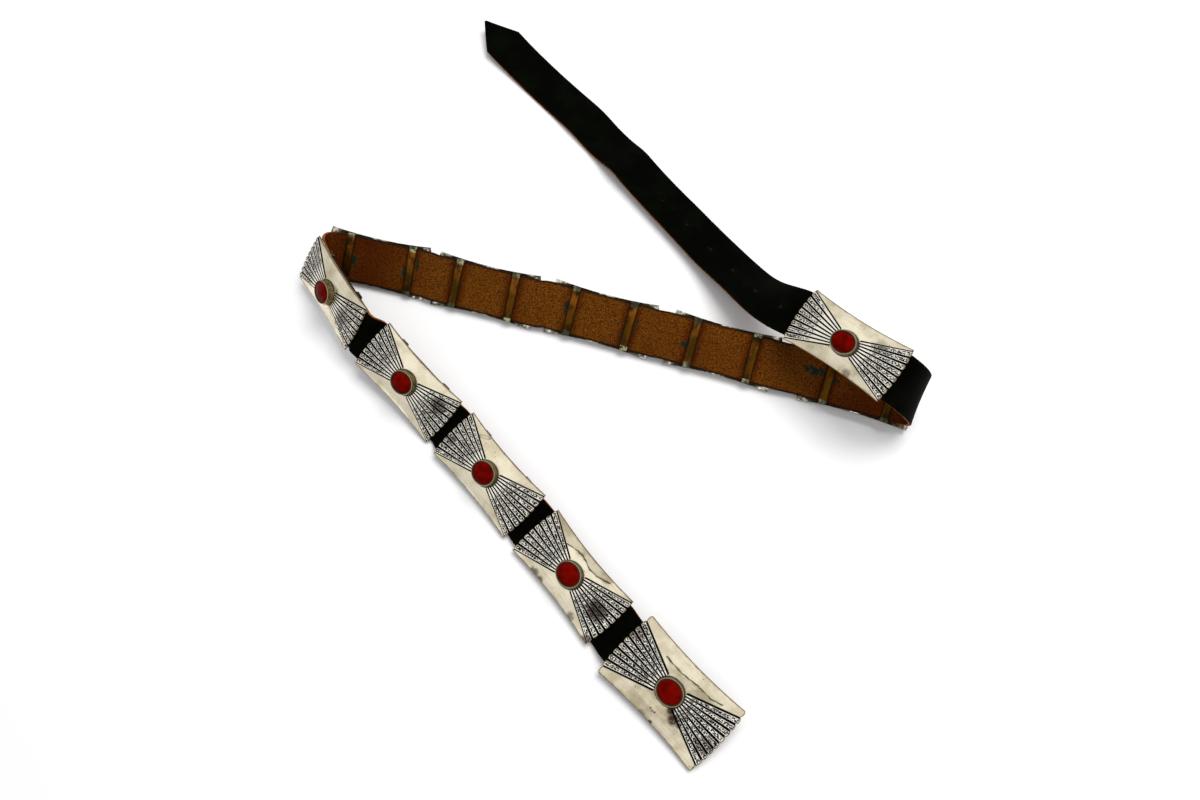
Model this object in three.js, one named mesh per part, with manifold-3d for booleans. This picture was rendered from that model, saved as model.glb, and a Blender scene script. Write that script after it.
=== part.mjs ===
// Concho belt laid in a Z on a flat surface.
// Millimetres, +Z up. The strap runs from the buckle to its pointed tip.
// In a piece's own frame X runs along the strap towards the tip, Y across it and Z out of its grain face.
import * as THREE from 'three';
import { mergeVertices } from 'three/addons/utils/BufferGeometryUtils.js';
import Module from 'manifold-3d';

const wasm = await Module();
wasm.setup();

// Strap
const strapWidth = 32;
const strapThick = 2.4;
const strapBevel = 0.6;
const tailLength = 376.5;
const pointLength = 24;
const tipWidth = 1.6;
const startOverlap = 1.5;
const holeCount = 6;
const holeSize = 3.8;
const holePitch = 27.4;
const firstHole = 14.5;

// Space left between pieces that touch
const fitGap = 0.3;

// Concho and buckle plates
const conchoLength = 72.4;
const conchoGap = 11;
const conchoOverhang = 2.7;
const conchoTab = 0.8;
const buckleLength = 74.4;
const buckleOverhang = 6.6;
const buckleTab = 4.5;
const plateEdge = 1;
const sheetThick = 1.4;
const domeHeight = 4;
const sideHollow = 2;
const endBulge = 1.6;

// Fans of raised ribs at both ends of a plate
const ribCount = 8;
const ribRelief = 0.7;
const scallopDepth = 1.3;
const fanStart = 6.6;
const fanStartHalf = 5.6;

// Stone and bezel
const stoneLength = 15.6;
const stoneWidth = 13;
const stoneHeight = 5;
const bezelFoot = 1.7;
const bezelRim = 0.7;
const bezelHeight = 4.3;

// Copper loops and the hook
const loopSpacing = 40.5;
const loopWidth = 6;
const loopThick = 0.7;
const loopBend = 0.9;
const hookWidth = 5;
const hookThick = 1.7;
const hookReach = 8;

// Smoothness
const ellipseSides = 16;
const holeSides = 10;
const foldSteps = 14;
const rayCells = 3;
const gapSteps = 3;
const tailSteps = 3;

// Lengths that follow from these
const pitch = conchoLength + conchoGap;
const plateBase = strapThick / 2 + fitGap;
const plateTop = plateBase + plateEdge + domeHeight;
const bezelTop = plateTop + bezelHeight;
const stoneSeat = plateTop + fitGap;
const loopInner = strapWidth / 2 + fitGap;
const loopOuter = loopInner + loopThick;
const loopFloor = -plateBase - loopThick;
const holdHalf = (loopSpacing + loopWidth) / 2;

const conchoPlate = {
  length: conchoLength,
  width: strapWidth + 2 * conchoOverhang,
  tab: conchoTab,
};
const bucklePlate = {
  length: buckleLength,
  width: strapWidth + 2 * buckleOverhang,
  tab: buckleTab,
};

// How each plate lies, from the buckle to the last concho.
// east, north: place as shares of the pitch, from the middle of the back run
// heading: direction of travel, in degrees from east
// lean: how far the edge nearest the viewer is lowered, in degrees
// slope: rise in the direction of travel, in degrees
// lift: height of the lowest point as a share of the strap's width
// fold: handle length of the fold that follows as a share of the strap's width, 0 where no fold follows
// far: distance of the second loop from the plate's middle as a share of half the loop spacing
const plateRows = [
  { east: 0.483, north: -2.888, heading: 133.9, lean: 13.9, slope: 2.0, lift: 0, fold: 0, far: 1 },
  { east: -0.198, north: -2.088, heading: 128.6, lean: 16.2, slope: 0, lift: 0, fold: 0, far: 1 },
  { east: -0.831, north: -1.321, heading: 130.6, lean: 23.6, slope: 1.9, lift: 0, fold: 0, far: 1 },
  { east: -1.488, north: -0.583, heading: 133.5, lean: 32.1, slope: 8.5, lift: 0, fold: 0, far: 1 },
  { east: -2.136, north: 0.175, heading: 123.6, lean: 49.0, slope: -3.3, lift: 0.25, fold: 1.25, far: 1 },
  { east: -1.867, north: 0.534, heading: -14.7, lean: 36.0, slope: 0, lift: 0, fold: 0, far: 1.24 },
  { east: -0.952, north: 0.27, heading: -16.3, lean: 33.9, slope: 0, lift: 0, fold: 0, far: 1 },
  { east: 0.002, north: 0, heading: -17.2, lean: 32.1, slope: 0, lift: 0, fold: 0, far: 1 },
  { east: 0.97, north: -0.291, heading: -17.2, lean: 29.4, slope: 0, lift: 0, fold: 0, far: 1 },
  { east: 2.026, north: -0.621, heading: -19.1, lean: 27.5, slope: 1.5, lift: 0, fold: 2.55, far: 1 },
  { east: 1.835, north: -0.486, heading: 134.7, lean: 31.2, slope: -10.3, lift: 1.08, fold: 0, far: 1 },
];

// How the plain tail lies, one row for each eighth of its length after the last concho
// clear: height of its lower edge above the surface as a share of the strap's width
const tailRows = [
  { heading: 119.1, lean: 2.2, clear: 0.616 },
  { heading: 123.5, lean: 0.9, clear: 0.216 },
  { heading: 126.9, lean: -2.5, clear: 0.122 },
  { heading: 126.1, lean: -3.7, clear: 0.1 },
  { heading: 126.9, lean: 0, clear: 0 },
  { heading: 130.5, lean: 0, clear: 0 },
  { heading: 130.5, lean: -0.5, clear: 0.05 },
  { heading: 127.6, lean: 2.0, clear: 0.222 },
];

const materials = {
  leather: new THREE.MeshStandardMaterial({ color: 0x14110f, roughness: 0.55, metalness: 0 }),
  silver: new THREE.MeshStandardMaterial({ color: 0xd8d0b8, roughness: 0.3, metalness: 1 }),
  coral: new THREE.MeshStandardMaterial({ color: 0x9c1408, roughness: 0.25, metalness: 0 }),
};

const radians = THREE.MathUtils.degToRad;

function closedGeometry(points, triangles) {
  const geometry = new THREE.BufferGeometry();
  geometry.setAttribute('position', new THREE.Float32BufferAttribute(points.flat(), 3));
  geometry.setIndex(triangles.flat());
  geometry.computeVertexNormals();
  return geometry;
}

function toSolid(geometry) {
  const bare = geometry.clone();
  bare.deleteAttribute('normal');
  bare.deleteAttribute('uv');
  const merged = mergeVertices(bare, 1e-4);
  return new wasm.Manifold(new wasm.Mesh({
    numProp: 3,
    vertProperties: new Float32Array(merged.attributes.position.array),
    triVerts: new Uint32Array(merged.index.array),
  }));
}

function toGeometry(solid) {
  const mesh = solid.getMesh();
  const geometry = new THREE.BufferGeometry();
  geometry.setAttribute('position', new THREE.BufferAttribute(new Float32Array(mesh.vertProperties), 3));
  geometry.setIndex(new THREE.BufferAttribute(new Uint32Array(mesh.triVerts), 1));
  geometry.computeVertexNormals();
  return geometry;
}

// Frame of a plate or of a place on the strap: along it, across it and out of its grain face
function frameOf(heading, lean, slope, face) {
  const along = new THREE.Vector3(
    Math.cos(heading) * Math.cos(slope),
    Math.sin(heading) * Math.cos(slope),
    Math.sin(slope),
  );
  const side = face === 'down' ? -1 : 1;
  const level = new THREE.Vector3(-Math.sin(heading) * side, Math.cos(heading) * side, 0);
  const up = new THREE.Vector3().crossVectors(along, level).multiplyScalar(side);
  const across = level.multiplyScalar(Math.cos(lean)).addScaledVector(up, -Math.sin(lean));
  const out = new THREE.Vector3().crossVectors(along, across);
  return { along, across, out };
}

function pointIn(frame, x, y, z) {
  return frame.centre.clone()
    .addScaledVector(frame.along, x)
    .addScaledVector(frame.across, y)
    .addScaledVector(frame.out, z);
}

// Lowest point of a plate with its loops, stone and stretch of strap, measured from its centre
function lowestOf(frame, plate) {
  const bare = { ...frame, centre: new THREE.Vector3() };
  const heights = [pointIn(bare, 0, 0, stoneSeat + stoneHeight).z];
  const rim = bezelSize(bezelRim);
  for (const endSign of [-1, 1]) {
    for (const sideSign of [-1, 1]) {
      for (const z of [plateBase, plateBase + plateEdge]) {
        heights.push(pointIn(bare, endSign * plate.length / 2, sideSign * plate.width / 2, z).z);
      }
      heights.push(pointIn(bare, endSign * holdHalf, sideSign * loopOuter, loopFloor + loopBend).z);
      heights.push(pointIn(bare, endSign * holdHalf, sideSign * (loopOuter - loopBend), loopFloor).z);
      heights.push(pointIn(bare, endSign * plateReach(plate), sideSign * strapWidth / 2, -strapThick / 2).z);
    }
  }
  for (let side = 0; side < ellipseSides; side++) {
    const angle = side / ellipseSides * 2 * Math.PI;
    const [x, y] = [rim.length / 2 * Math.sin(angle), rim.width / 2 * Math.cos(angle)];
    heights.push(pointIn(bare, x, y, bezelTop).z);
  }
  return Math.min(...heights);
}

function plateFrame(row, plate, face) {
  const frame = frameOf(radians(row.heading), radians(row.lean), radians(row.slope), face);
  const height = row.lift * strapWidth - lowestOf(frame, plate);
  frame.centre = new THREE.Vector3(row.east * pitch, row.north * pitch, height);
  return { ...row, ...frame, plate };
}

// One line of the plate's grid, running along the plate from end to end.
// Lines alternate between grooves, which end in a notch, and rib crests, which end in a scallop's tip.
function fanLine(plate, index) {
  const half = plate.width / 2;
  const outerHalf = half - plate.tab;
  const share = index / ribCount - 1;
  const isCrest = index % 2 === 1;
  const isBorder = index === 0 || index === 2 * ribCount;
  const groove = isBorder ? Math.min(scallopDepth, plate.tab / 2) : scallopDepth;
  const tip = plate.length / 2 + endBulge * (1 - (share * outerHalf / half) ** 2);
  return {
    end: isCrest ? tip : tip - groove,
    relief: isCrest ? ribRelief : 0,
    across: (x, t) => share * (fanStartHalf + (outerHalf - fanStartHalf) * t),
  };
}

function sideHalf(plate, x) {
  return plate.width / 2 - sideHollow * Math.max(0, 1 - (2 * x / plate.length) ** 2);
}

// Line on the smooth side, from the outermost groove (blend 0) to the plate's edge (blend 1)
function sideLine(plate, sign, blend) {
  const groove = fanLine(plate, sign < 0 ? 0 : 2 * ribCount);
  return {
    end: plate.length / 2 - (blend === 1 ? plate.tab / 4 : 0),
    relief: 0,
    across: (x, t) => THREE.MathUtils.lerp(groove.across(x, t), sign * sideHalf(plate, x), blend),
  };
}

function plateLines(plate) {
  const lines = [sideLine(plate, -1, 1), sideLine(plate, -1, 0.5)];
  for (let index = 0; index <= 2 * ribCount; index++) lines.push(fanLine(plate, index));
  lines.push(sideLine(plate, 1, 0.5), sideLine(plate, 1, 1));
  return lines;
}

function domeAt(plate, x, y) {
  const alongShare = Math.min(Math.abs(2 * x / plate.length), 1);
  const acrossShare = Math.min(Math.abs(y) / sideHalf(plate, x), 1);
  return domeHeight * (1 - alongShare ** 2) * (1 - acrossShare ** 2) ** 0.7;
}

// Domed plate with concave long sides, scalloped ends and raised ribs, hollow underneath
function plateGeometry(plate) {
  const stations = [{ sign: 0, t: 0 }];
  for (let step = 0; step <= rayCells; step++) {
    stations.unshift({ sign: -1, t: step / rayCells });
    stations.push({ sign: 1, t: step / rayCells });
  }
  const lines = plateLines(plate);
  const points = [];
  for (const line of lines) {
    for (const { sign, t } of stations) {
      const x = sign * (fanStart + (line.end - fanStart) * t);
      const y = line.across(x, t);
      const relief = sign === 0 ? 0 : line.relief * Math.min(1, 0.4 + t);
      points.push([x, y, plateBase + plateEdge + domeAt(plate, x, y) + relief]);
    }
  }
  const columns = stations.length;
  const rows = lines.length;
  const at = (row, column) => row * columns + column;
  const triangles = [];
  for (let row = 0; row < rows - 1; row++) {
    for (let column = 0; column < columns - 1; column++) {
      const [a, b] = [at(row, column), at(row, column + 1)];
      triangles.push([a, b, b + columns], [a, b + columns, a + columns]);
    }
  }
  const rim = [];
  for (let column = 0; column < columns - 1; column++) rim.push(at(0, column));
  for (let row = 0; row < rows - 1; row++) rim.push(at(row, columns - 1));
  for (let column = columns - 1; column > 0; column--) rim.push(at(rows - 1, column));
  for (let row = rows - 1; row > 0; row--) rim.push(at(row, 0));
  const firstLow = points.length;
  for (const index of rim) points.push([points[index][0], points[index][1], plateBase]);
  const apex = points.length;
  points.push([0, 0, plateTop - sheetThick]);
  for (let k = 0; k < rim.length; k++) {
    const next = (k + 1) % rim.length;
    triangles.push([rim[k], firstLow + k, firstLow + next], [rim[k], firstLow + next, rim[next]]);
    triangles.push([firstLow + k, apex, firstLow + next]);
  }
  return closedGeometry(points, triangles);
}

// Outer size of the bezel where its wall has a given thickness
function bezelSize(wall) {
  return { length: stoneLength + 2 * (fitGap + wall), width: stoneWidth + 2 * (fitGap + wall) };
}

// Oval column from one height to another, narrowing from its foot to its top
function ovalColumn(foot, top, low, high) {
  const geometry = new THREE.CylinderGeometry(0.5, 0.5, 1, ellipseSides);
  geometry.rotateX(Math.PI / 2);
  const position = geometry.attributes.position;
  for (let k = 0; k < position.count; k++) {
    const isTop = position.getZ(k) > 0;
    const size = isTop ? top : foot;
    position.setXYZ(k, position.getX(k) * size.length, position.getY(k) * size.width, isTop ? high : low);
  }
  return geometry;
}

// Copper strip that leaves the plate's edge, passes behind the strap and comes back to the other edge
function loopGeometry(x) {
  const shape = new THREE.Shape();
  const top = plateBase + 0.9 * plateEdge;
  shape.moveTo(-loopOuter, top);
  shape.lineTo(-loopOuter, loopFloor + loopBend);
  shape.lineTo(loopBend - loopOuter, loopFloor);
  shape.lineTo(loopOuter - loopBend, loopFloor);
  shape.lineTo(loopOuter, loopFloor + loopBend);
  shape.lineTo(loopOuter, top);
  shape.lineTo(loopInner, top);
  shape.lineTo(loopInner, -plateBase);
  shape.lineTo(-loopInner, -plateBase);
  shape.lineTo(-loopInner, top);
  const geometry = new THREE.ExtrudeGeometry(shape, { depth: loopWidth, bevelEnabled: false });
  geometry.rotateX(Math.PI / 2);
  geometry.rotateZ(Math.PI / 2);
  geometry.translate(x - loopWidth / 2, 0, 0);
  return geometry;
}

// Plain hook on the back of the buckle, past the end of the strap
function hookGeometry() {
  const root = -holdHalf - strapThick - hookThick;
  const shape = new THREE.Shape();
  const top = plateBase + plateEdge + domeHeight / 4;
  shape.moveTo(root + hookThick, top);
  shape.lineTo(root, top);
  shape.lineTo(root, loopFloor + hookThick);
  shape.lineTo(root - hookReach + hookThick, loopFloor + hookThick);
  shape.lineTo(root - hookReach + hookThick, loopFloor);
  shape.lineTo(root + hookThick, loopFloor);
  const geometry = new THREE.ExtrudeGeometry(shape, { depth: hookWidth, bevelEnabled: false });
  geometry.rotateX(Math.PI / 2);
  geometry.translate(0, hookWidth / 2, 0);
  return geometry;
}

// Plate, bezel and loops soldered together
function mountGeometry(plate, far, extras) {
  const parts = [
    ovalColumn(bezelSize(bezelFoot), bezelSize(bezelRim), plateTop - sheetThick, bezelTop),
    loopGeometry(-loopSpacing / 2),
    loopGeometry(far * loopSpacing / 2),
    ...extras,
  ];
  let solid = toSolid(plateGeometry(plate));
  for (const part of parts) solid = solid.add(toSolid(part));
  const opening = bezelSize(0);
  const pocket = ovalColumn(opening, opening, plateTop, bezelTop + bezelHeight);
  return toGeometry(solid.subtract(toSolid(pocket)));
}

// Oval cabochon with a flat seat
function stoneGeometry() {
  const profile = [
    { radius: 0, height: 0 },
    { radius: 1, height: 0 },
    { radius: 1, height: 0.62 },
    { radius: 0.86, height: 0.8 },
    { radius: 0.5, height: 0.95 },
    { radius: 0, height: 1 },
  ].map(({ radius, height }) => new THREE.Vector2(radius / 2, height * stoneHeight));
  const geometry = new THREE.LatheGeometry(profile, ellipseSides);
  geometry.rotateX(Math.PI / 2);
  geometry.scale(stoneLength, stoneWidth, 1);
  geometry.translate(0, 0, stoneSeat);
  return toGeometry(toSolid(geometry));
}

// Half the length that a plate covers, out to its longest ribs
function plateReach(plate) {
  return plate.length / 2 + endBulge;
}

function strapPlace(frame, x) {
  return { centre: pointIn(frame, x, 0, 0), along: frame.along, across: frame.across, half: strapWidth / 2 };
}

// Places on the strap between two held stretches, on a smooth curve that leaves and meets them in line
function linkPlaces(from, to, handle, steps) {
  const places = [];
  const start = from.centre;
  const end = to.centre;
  for (let k = 1; k < steps; k++) {
    const t = k / steps;
    const point = new THREE.Vector3()
      .addScaledVector(start, 2 * t ** 3 - 3 * t ** 2 + 1)
      .addScaledVector(from.along, handle * (t ** 3 - 2 * t ** 2 + t))
      .addScaledVector(end, 3 * t ** 2 - 2 * t ** 3)
      .addScaledVector(to.along, handle * (t ** 3 - t ** 2));
    const along = new THREE.Vector3()
      .addScaledVector(start, 6 * t ** 2 - 6 * t)
      .addScaledVector(from.along, handle * (3 * t ** 2 - 4 * t + 1))
      .addScaledVector(end, 6 * t - 6 * t ** 2)
      .addScaledVector(to.along, handle * (3 * t ** 2 - 2 * t))
      .normalize();
    const across = from.across.clone().lerp(to.across, t * t * (3 - 2 * t));
    across.addScaledVector(along, -across.dot(along)).normalize();
    places.push({ centre: point, along, across, half: strapWidth / 2 });
  }
  return places;
}

// Smooth value between rows, t counted in rows. It stays level between two equal rows.
function smoothRow(values, t) {
  const last = values.length - 1;
  const k = Math.min(Math.floor(t), last - 1);
  const u = t - k;
  const slopeAt = (row) => {
    if (row === 0) return values[1] - values[0];
    if (row === last) return values[last] - values[last - 1];
    const before = values[row] - values[row - 1];
    const after = values[row + 1] - values[row];
    return before * after <= 0 ? 0 : (before + after) / 2;
  };
  return (2 * u ** 3 - 3 * u ** 2 + 1) * values[k] + (u ** 3 - 2 * u ** 2 + u) * slopeAt(k)
    + (3 * u ** 2 - 2 * u ** 3) * values[k + 1] + (u ** 3 - u ** 2) * slopeAt(k + 1);
}

// Places on the plain tail: it comes down from the last concho, crosses the back run and lies out flat
function tailPlaces(last) {
  const start = pointIn(last, plateReach(last.plate), 0, 0);
  const heading = [last.heading, ...tailRows.map((row) => row.heading)];
  const lean = [last.lean, ...tailRows.map((row) => row.lean)];
  const height = [start.z, ...tailRows.map((row) => row.clear * strapWidth + strapThick / 2
    + Math.abs(Math.sin(radians(row.lean))) * strapWidth / 2)];
  const steps = tailRows.length * tailSteps;
  const stepLength = tailLength / steps;
  const places = [];
  let centre = start;
  for (let step = 1; step <= steps; step++) {
    const t = step / tailSteps;
    const next = centre.clone();
    next.z = smoothRow(height, t);
    const rise = next.z - centre.z;
    const run = Math.sqrt(Math.max(stepLength ** 2 - rise ** 2, 0));
    const direction = radians(smoothRow(heading, t - 0.5 / tailSteps));
    next.x += run * Math.cos(direction);
    next.y += run * Math.sin(direction);
    const frame = frameOf(direction, radians(smoothRow(lean, t)), Math.atan2(rise, run), 'up');
    places.push({ centre: next, along: frame.along, across: frame.across, half: strapWidth / 2 });
    centre = next;
  }
  return places;
}

// Place at a distance along a run of places
function placeAlong(places, distance) {
  let left = distance;
  for (let k = 0; k < places.length - 1; k++) {
    const step = places[k + 1].centre.distanceTo(places[k].centre);
    if (left <= step || k === places.length - 2) {
      const share = left / step;
      const centre = places[k].centre.clone().lerp(places[k + 1].centre, share);
      const along = places[k + 1].centre.clone().sub(places[k].centre).normalize();
      const across = places[k].across.clone().lerp(places[k + 1].across, share);
      across.addScaledVector(along, -across.dot(along)).normalize();
      return { centre, along, across, half: strapWidth / 2 };
    }
    left -= step;
  }
  return places[0];
}

// Corners of the strap's section at a place, with a small bevel on each long edge
function sectionPoints(place) {
  const out = new THREE.Vector3().crossVectors(place.along, place.across);
  const half = place.half;
  const thick = strapThick / 2;
  const bevel = Math.min(strapBevel, half / 2);
  const corners = [
    [half, bevel - thick], [half, thick - bevel], [half - bevel, thick], [bevel - half, thick],
    [-half, thick - bevel], [-half, bevel - thick], [bevel - half, -thick], [half - bevel, -thick],
  ];
  return corners.map(([y, z]) => place.centre.clone()
    .addScaledVector(place.across, y)
    .addScaledVector(out, z)
    .toArray());
}

// Solid that follows a row of places
function sweptGeometry(places) {
  const rings = places.map(sectionPoints);
  const sides = rings[0].length;
  const triangles = [];
  for (let ring = 0; ring < rings.length - 1; ring++) {
    for (let side = 0; side < sides; side++) {
      const next = (side + 1) % sides;
      const [a, b] = [ring * sides + side, ring * sides + next];
      triangles.push([a, b, b + sides], [a, b + sides, a + sides]);
    }
  }
  const end = (rings.length - 1) * sides;
  for (let side = 1; side < sides - 1; side++) {
    triangles.push([0, side + 1, side], [end, end + side, end + side + 1]);
  }
  return closedGeometry(rings.flat(), triangles);
}

// Stretch of the strap that a plate holds flat. It is shorter on the side of a fold.
function heldPlaces(frame, before, after) {
  const from = before === 'fold' ? holdHalf : plateReach(frame.plate);
  const to = after === 'fold' ? holdHalf : plateReach(frame.plate);
  return [strapPlace(frame, -from), strapPlace(frame, to)];
}

function strapGeometry(frames) {
  const first = frames[0];
  const places = [strapPlace(first, -holdHalf - startOverlap), strapPlace(first, plateReach(first.plate))];
  for (let k = 1; k < frames.length; k++) {
    const handle = frames[k - 1].fold * strapWidth;
    const before = handle > 0 ? 'fold' : 'gap';
    const after = frames[k].fold > 0 ? 'fold' : 'gap';
    const held = heldPlaces(frames[k], before, after);
    const from = places.at(-1);
    const straight = from.centre.distanceTo(held[0].centre);
    places.push(...linkPlaces(from, held[0], handle || straight, handle ? foldSteps : gapSteps), ...held);
  }
  const tail = [places.at(-1), ...tailPlaces(frames.at(-1))];
  const shoulder = placeAlong(tail, tailLength - pointLength);
  const tip = { ...tail.at(-1), half: tipWidth / 2 };
  const stepLength = tailLength / (tail.length - 1);
  const plainSteps = Math.ceil((tailLength - pointLength) / stepLength) - 1;
  places.push(...tail.slice(1, plainSteps + 1), shoulder, tip);
  let solid = toSolid(sweptGeometry(places));
  for (let k = 0; k < holeCount; k++) {
    const hole = placeAlong(tail, firstHole + k * holePitch);
    solid = solid.subtract(toSolid(holeGeometry(hole)));
  }
  return toGeometry(solid);
}

function holeGeometry(place) {
  const geometry = new THREE.CylinderGeometry(holeSize / 2, holeSize / 2, 4 * strapThick, holeSides);
  geometry.rotateX(Math.PI / 2);
  geometry.applyMatrix4(matrixOf(place));
  return geometry;
}

function matrixOf(place) {
  const out = new THREE.Vector3().crossVectors(place.along, place.across);
  return new THREE.Matrix4().makeBasis(place.along, place.across, out).setPosition(place.centre);
}

function addMesh(parent, name, geometry, material, frame) {
  const mesh = new THREE.Mesh(geometry, material);
  mesh.name = name;
  if (frame) mesh.applyMatrix4(matrixOf(frame));
  parent.add(mesh);
}

function plateFrames() {
  let face = 'up';
  return plateRows.map((row, index) => {
    const frame = plateFrame(row, index === 0 ? bucklePlate : conchoPlate, face);
    if (row.fold > 0) face = face === 'up' ? 'down' : 'up';
    return frame;
  });
}

// Moves the belt so that it stands on height 0 with its outline centred on the origin
function centreOnSurface(group) {
  const box = new THREE.Box3().setFromObject(group, true);
  const middle = box.getCenter(new THREE.Vector3());
  group.position.set(-middle.x, -middle.y, -box.min.z);
  group.updateMatrixWorld(true);
}

const belt = new THREE.Group();
const frames = plateFrames();
const stone = stoneGeometry();
addMesh(belt, 'strap', strapGeometry(frames), materials.leather);
frames.forEach((frame, index) => {
  const number = String(index).padStart(2, '0');
  const isBuckle = index === 0;
  const mount = mountGeometry(frame.plate, frame.far, isBuckle ? [hookGeometry()] : []);
  addMesh(belt, isBuckle ? 'buckle' : `concho_${number}`, mount, materials.silver, frame);
  addMesh(belt, isBuckle ? 'buckle_stone' : `stone_${number}`, stone, materials.coral, frame);
});
centreOnSurface(belt);

export default belt;
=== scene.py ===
"""Looks of the concho belt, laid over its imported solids."""

import math
from collections import namedtuple
from types import SimpleNamespace

import bpy
import numpy as np
from bpy.props import FloatProperty, FloatVectorProperty, IntProperty, PointerProperty
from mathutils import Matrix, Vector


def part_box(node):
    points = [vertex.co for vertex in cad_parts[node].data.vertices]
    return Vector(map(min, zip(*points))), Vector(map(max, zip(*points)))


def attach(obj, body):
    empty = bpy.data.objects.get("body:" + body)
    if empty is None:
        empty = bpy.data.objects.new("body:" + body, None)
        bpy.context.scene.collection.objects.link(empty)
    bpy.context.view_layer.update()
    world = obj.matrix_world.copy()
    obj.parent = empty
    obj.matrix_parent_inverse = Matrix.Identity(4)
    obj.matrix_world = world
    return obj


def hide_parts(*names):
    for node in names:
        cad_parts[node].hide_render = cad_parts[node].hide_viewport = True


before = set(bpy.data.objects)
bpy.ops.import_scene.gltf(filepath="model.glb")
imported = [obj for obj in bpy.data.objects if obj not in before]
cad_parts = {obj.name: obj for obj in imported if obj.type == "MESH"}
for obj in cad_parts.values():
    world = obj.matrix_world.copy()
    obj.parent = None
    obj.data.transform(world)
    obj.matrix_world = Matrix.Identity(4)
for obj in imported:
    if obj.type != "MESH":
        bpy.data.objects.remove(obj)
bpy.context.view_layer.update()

bl_info = {
    "name": "Concho belt",
    "version": (1, 0, 0),
    "blender": (4, 5, 0),
    "location": "View3D > Sidebar > Concho belt",
    "description": "Leather strap, stamped silver conchos, copper loops and coral stones of the packed belt",
    "category": "Object",
}

METRE = 1000.0  # millimetres

# Lengths in millimetres
LOOP_BEND = 0.9  # radius of a copper loop's bends
SOLID_RIM = 0.7  # a bezel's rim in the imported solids, outside the stone's opening
BEZEL_FOOT = 1.15  # a bezel's foot, outside the stone's opening
SHEET = 1.4  # thickness of a plate in its middle
FLOOR_GAP = 0.02  # least height of any piece above the floor
LAY_STEP = 100.0  # between one plate and the next where the finishes lie along the pieces
BEAT = 1.22  # between two punched dents on a rib
DENT_DEPTH = 0.13  # of a punched dent
FOLD_DEPTH = 0.12  # of the line in a fold
GRIT_DEPTH = 0.035  # of the roughness between the dents
DISH_DEPTH = 0.35  # of a plain side
HAMMER_DEPTH = 0.14  # of the soft dents in a plain side
HAMMER_SIZE = 16  # of the same dents
END_DROP = 0.25  # of the outermost points at a plate's ends, which rounds the edge
SIDE_DROP = 0.22  # of the same at its long sides
SWAY = 0.18  # curl of the tail's edges

TURNS = 72  # points round a bezel or a stone
HOLE_LONG = 1.08  # length of a belt hole over its width
OPEN_HOLE, SHUT_HOLE = 0.5, 0.1  # how open the holes are on the suede side, far from and near the last concho
SHUT_WITHIN = 0.2  # share of the tail in which the holes are nearly shut

# The strap's finishes
GRAIN, FLESH, RAW = range(3)

# Seeds of the random draws. A plate's number is added to all but the first, and ten times it for the loops.
SEEDS = SimpleNamespace(sway=3, hammer=40, bezel=70, coral=90, loops=200, stamp=500, fold=600, fold_dark=640)


def table(name, columns, *rows):
    """Rows with named columns"""
    kind = namedtuple(name, columns)
    return [kind(*row) for row in rows]


# How each plate lies, from the buckle to the last concho. The columns are those of the part's source.
PLATE_ROWS = table(
    "PlateRow", "east north heading lean slope lift fold far",
    (0.483, -2.888, 133.9, 13.9, 2.0, 0, 0, 1),
    (-0.198, -2.088, 128.6, 16.2, 0, 0, 0, 1),
    (-0.831, -1.321, 130.6, 23.6, 1.9, 0, 0, 1),
    (-1.488, -0.583, 133.5, 32.1, 8.5, 0, 0, 1),
    (-2.136, 0.175, 123.6, 49.0, -3.3, 0.25, 1.25, 1),
    (-1.867, 0.534, -14.7, 36.0, 0, 0, 0, 1.24),
    (-0.952, 0.27, -16.3, 33.9, 0, 0, 0, 1),
    (0.002, 0, -17.2, 32.1, 0, 0, 0, 1),
    (0.97, -0.291, -17.2, 29.4, 0, 0, 0, 1),
    (2.026, -0.621, -19.1, 27.5, 1.5, 0, 2.55, 1),
    (1.835, -0.486, 134.7, 31.2, -10.3, 1.08, 0, 1),
)

# How the plain tail lies, one row for each eighth of its length
TAIL_ROWS = table(
    "TailRow", "heading lean clear",
    (119.1, 2.2, 0.616), (123.5, 0.9, 0.216), (126.9, -2.5, 0.122), (126.1, -3.7, 0.1),
    (126.9, 0, 0), (130.5, 0, 0), (130.5, -0.5, 0.05), (127.6, 2.0, 0.222),
)

# Section of a rib, from the groove's middle towards the crest: distance in millimetres where the fan is
# widest and where it starts, height as a share of the rib's relief, and how much of stamping, groove and
# bright rim. The first steps, those of the groove, spread with its breadth.
RIB_STEPS = table(
    "RibStep", "outer inner height mark groove rim",
    (0.0, 0.0, -0.2, 0, 1, 0),
    (0.46, 0.31, -0.1, 0, 1, 0),
    (0.58, 0.38, 0.7, 0, 0.75, 0),
    (0.76, 0.45, 1.0, 0, 0, 1),
    (1.0, 0.51, 0.85, 0.3, 0, 1),
    (1.3, 0.57, 0.75, 1, 0, 0),
    (1.82, 0.64, 0.84, 1, 0, 0),
)
GROOVE_STEPS = 4

# Looks of the two fans of each plate, from the buckle on: where along the ribs the stamping fades in, as
# shares of a fan's length, on the buckle's side (low) and the tail's (high), and how broad the grooves are
PLAIN_FAN = ((0.05, 0.25), (0.05, 0.25), 1.0)
FAN_LOOKS = table(
    "FanLook", "low high broad",
    ((0.04, 0.22), (0.04, 0.25), 1.1),
    ((0.06, 0.3), (0.06, 0.3), 1.05),
    ((0.1, 0.45), (0.08, 0.4), 1.05),
    ((0.12, 0.5), (0.1, 0.5), 1.15),
    ((0.2, 0.6), (0.2, 0.6), 1.25),
    *[PLAIN_FAN] * 5,
    ((0.12, 0.5), (0.25, 0.8), 1.0),
)

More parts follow.
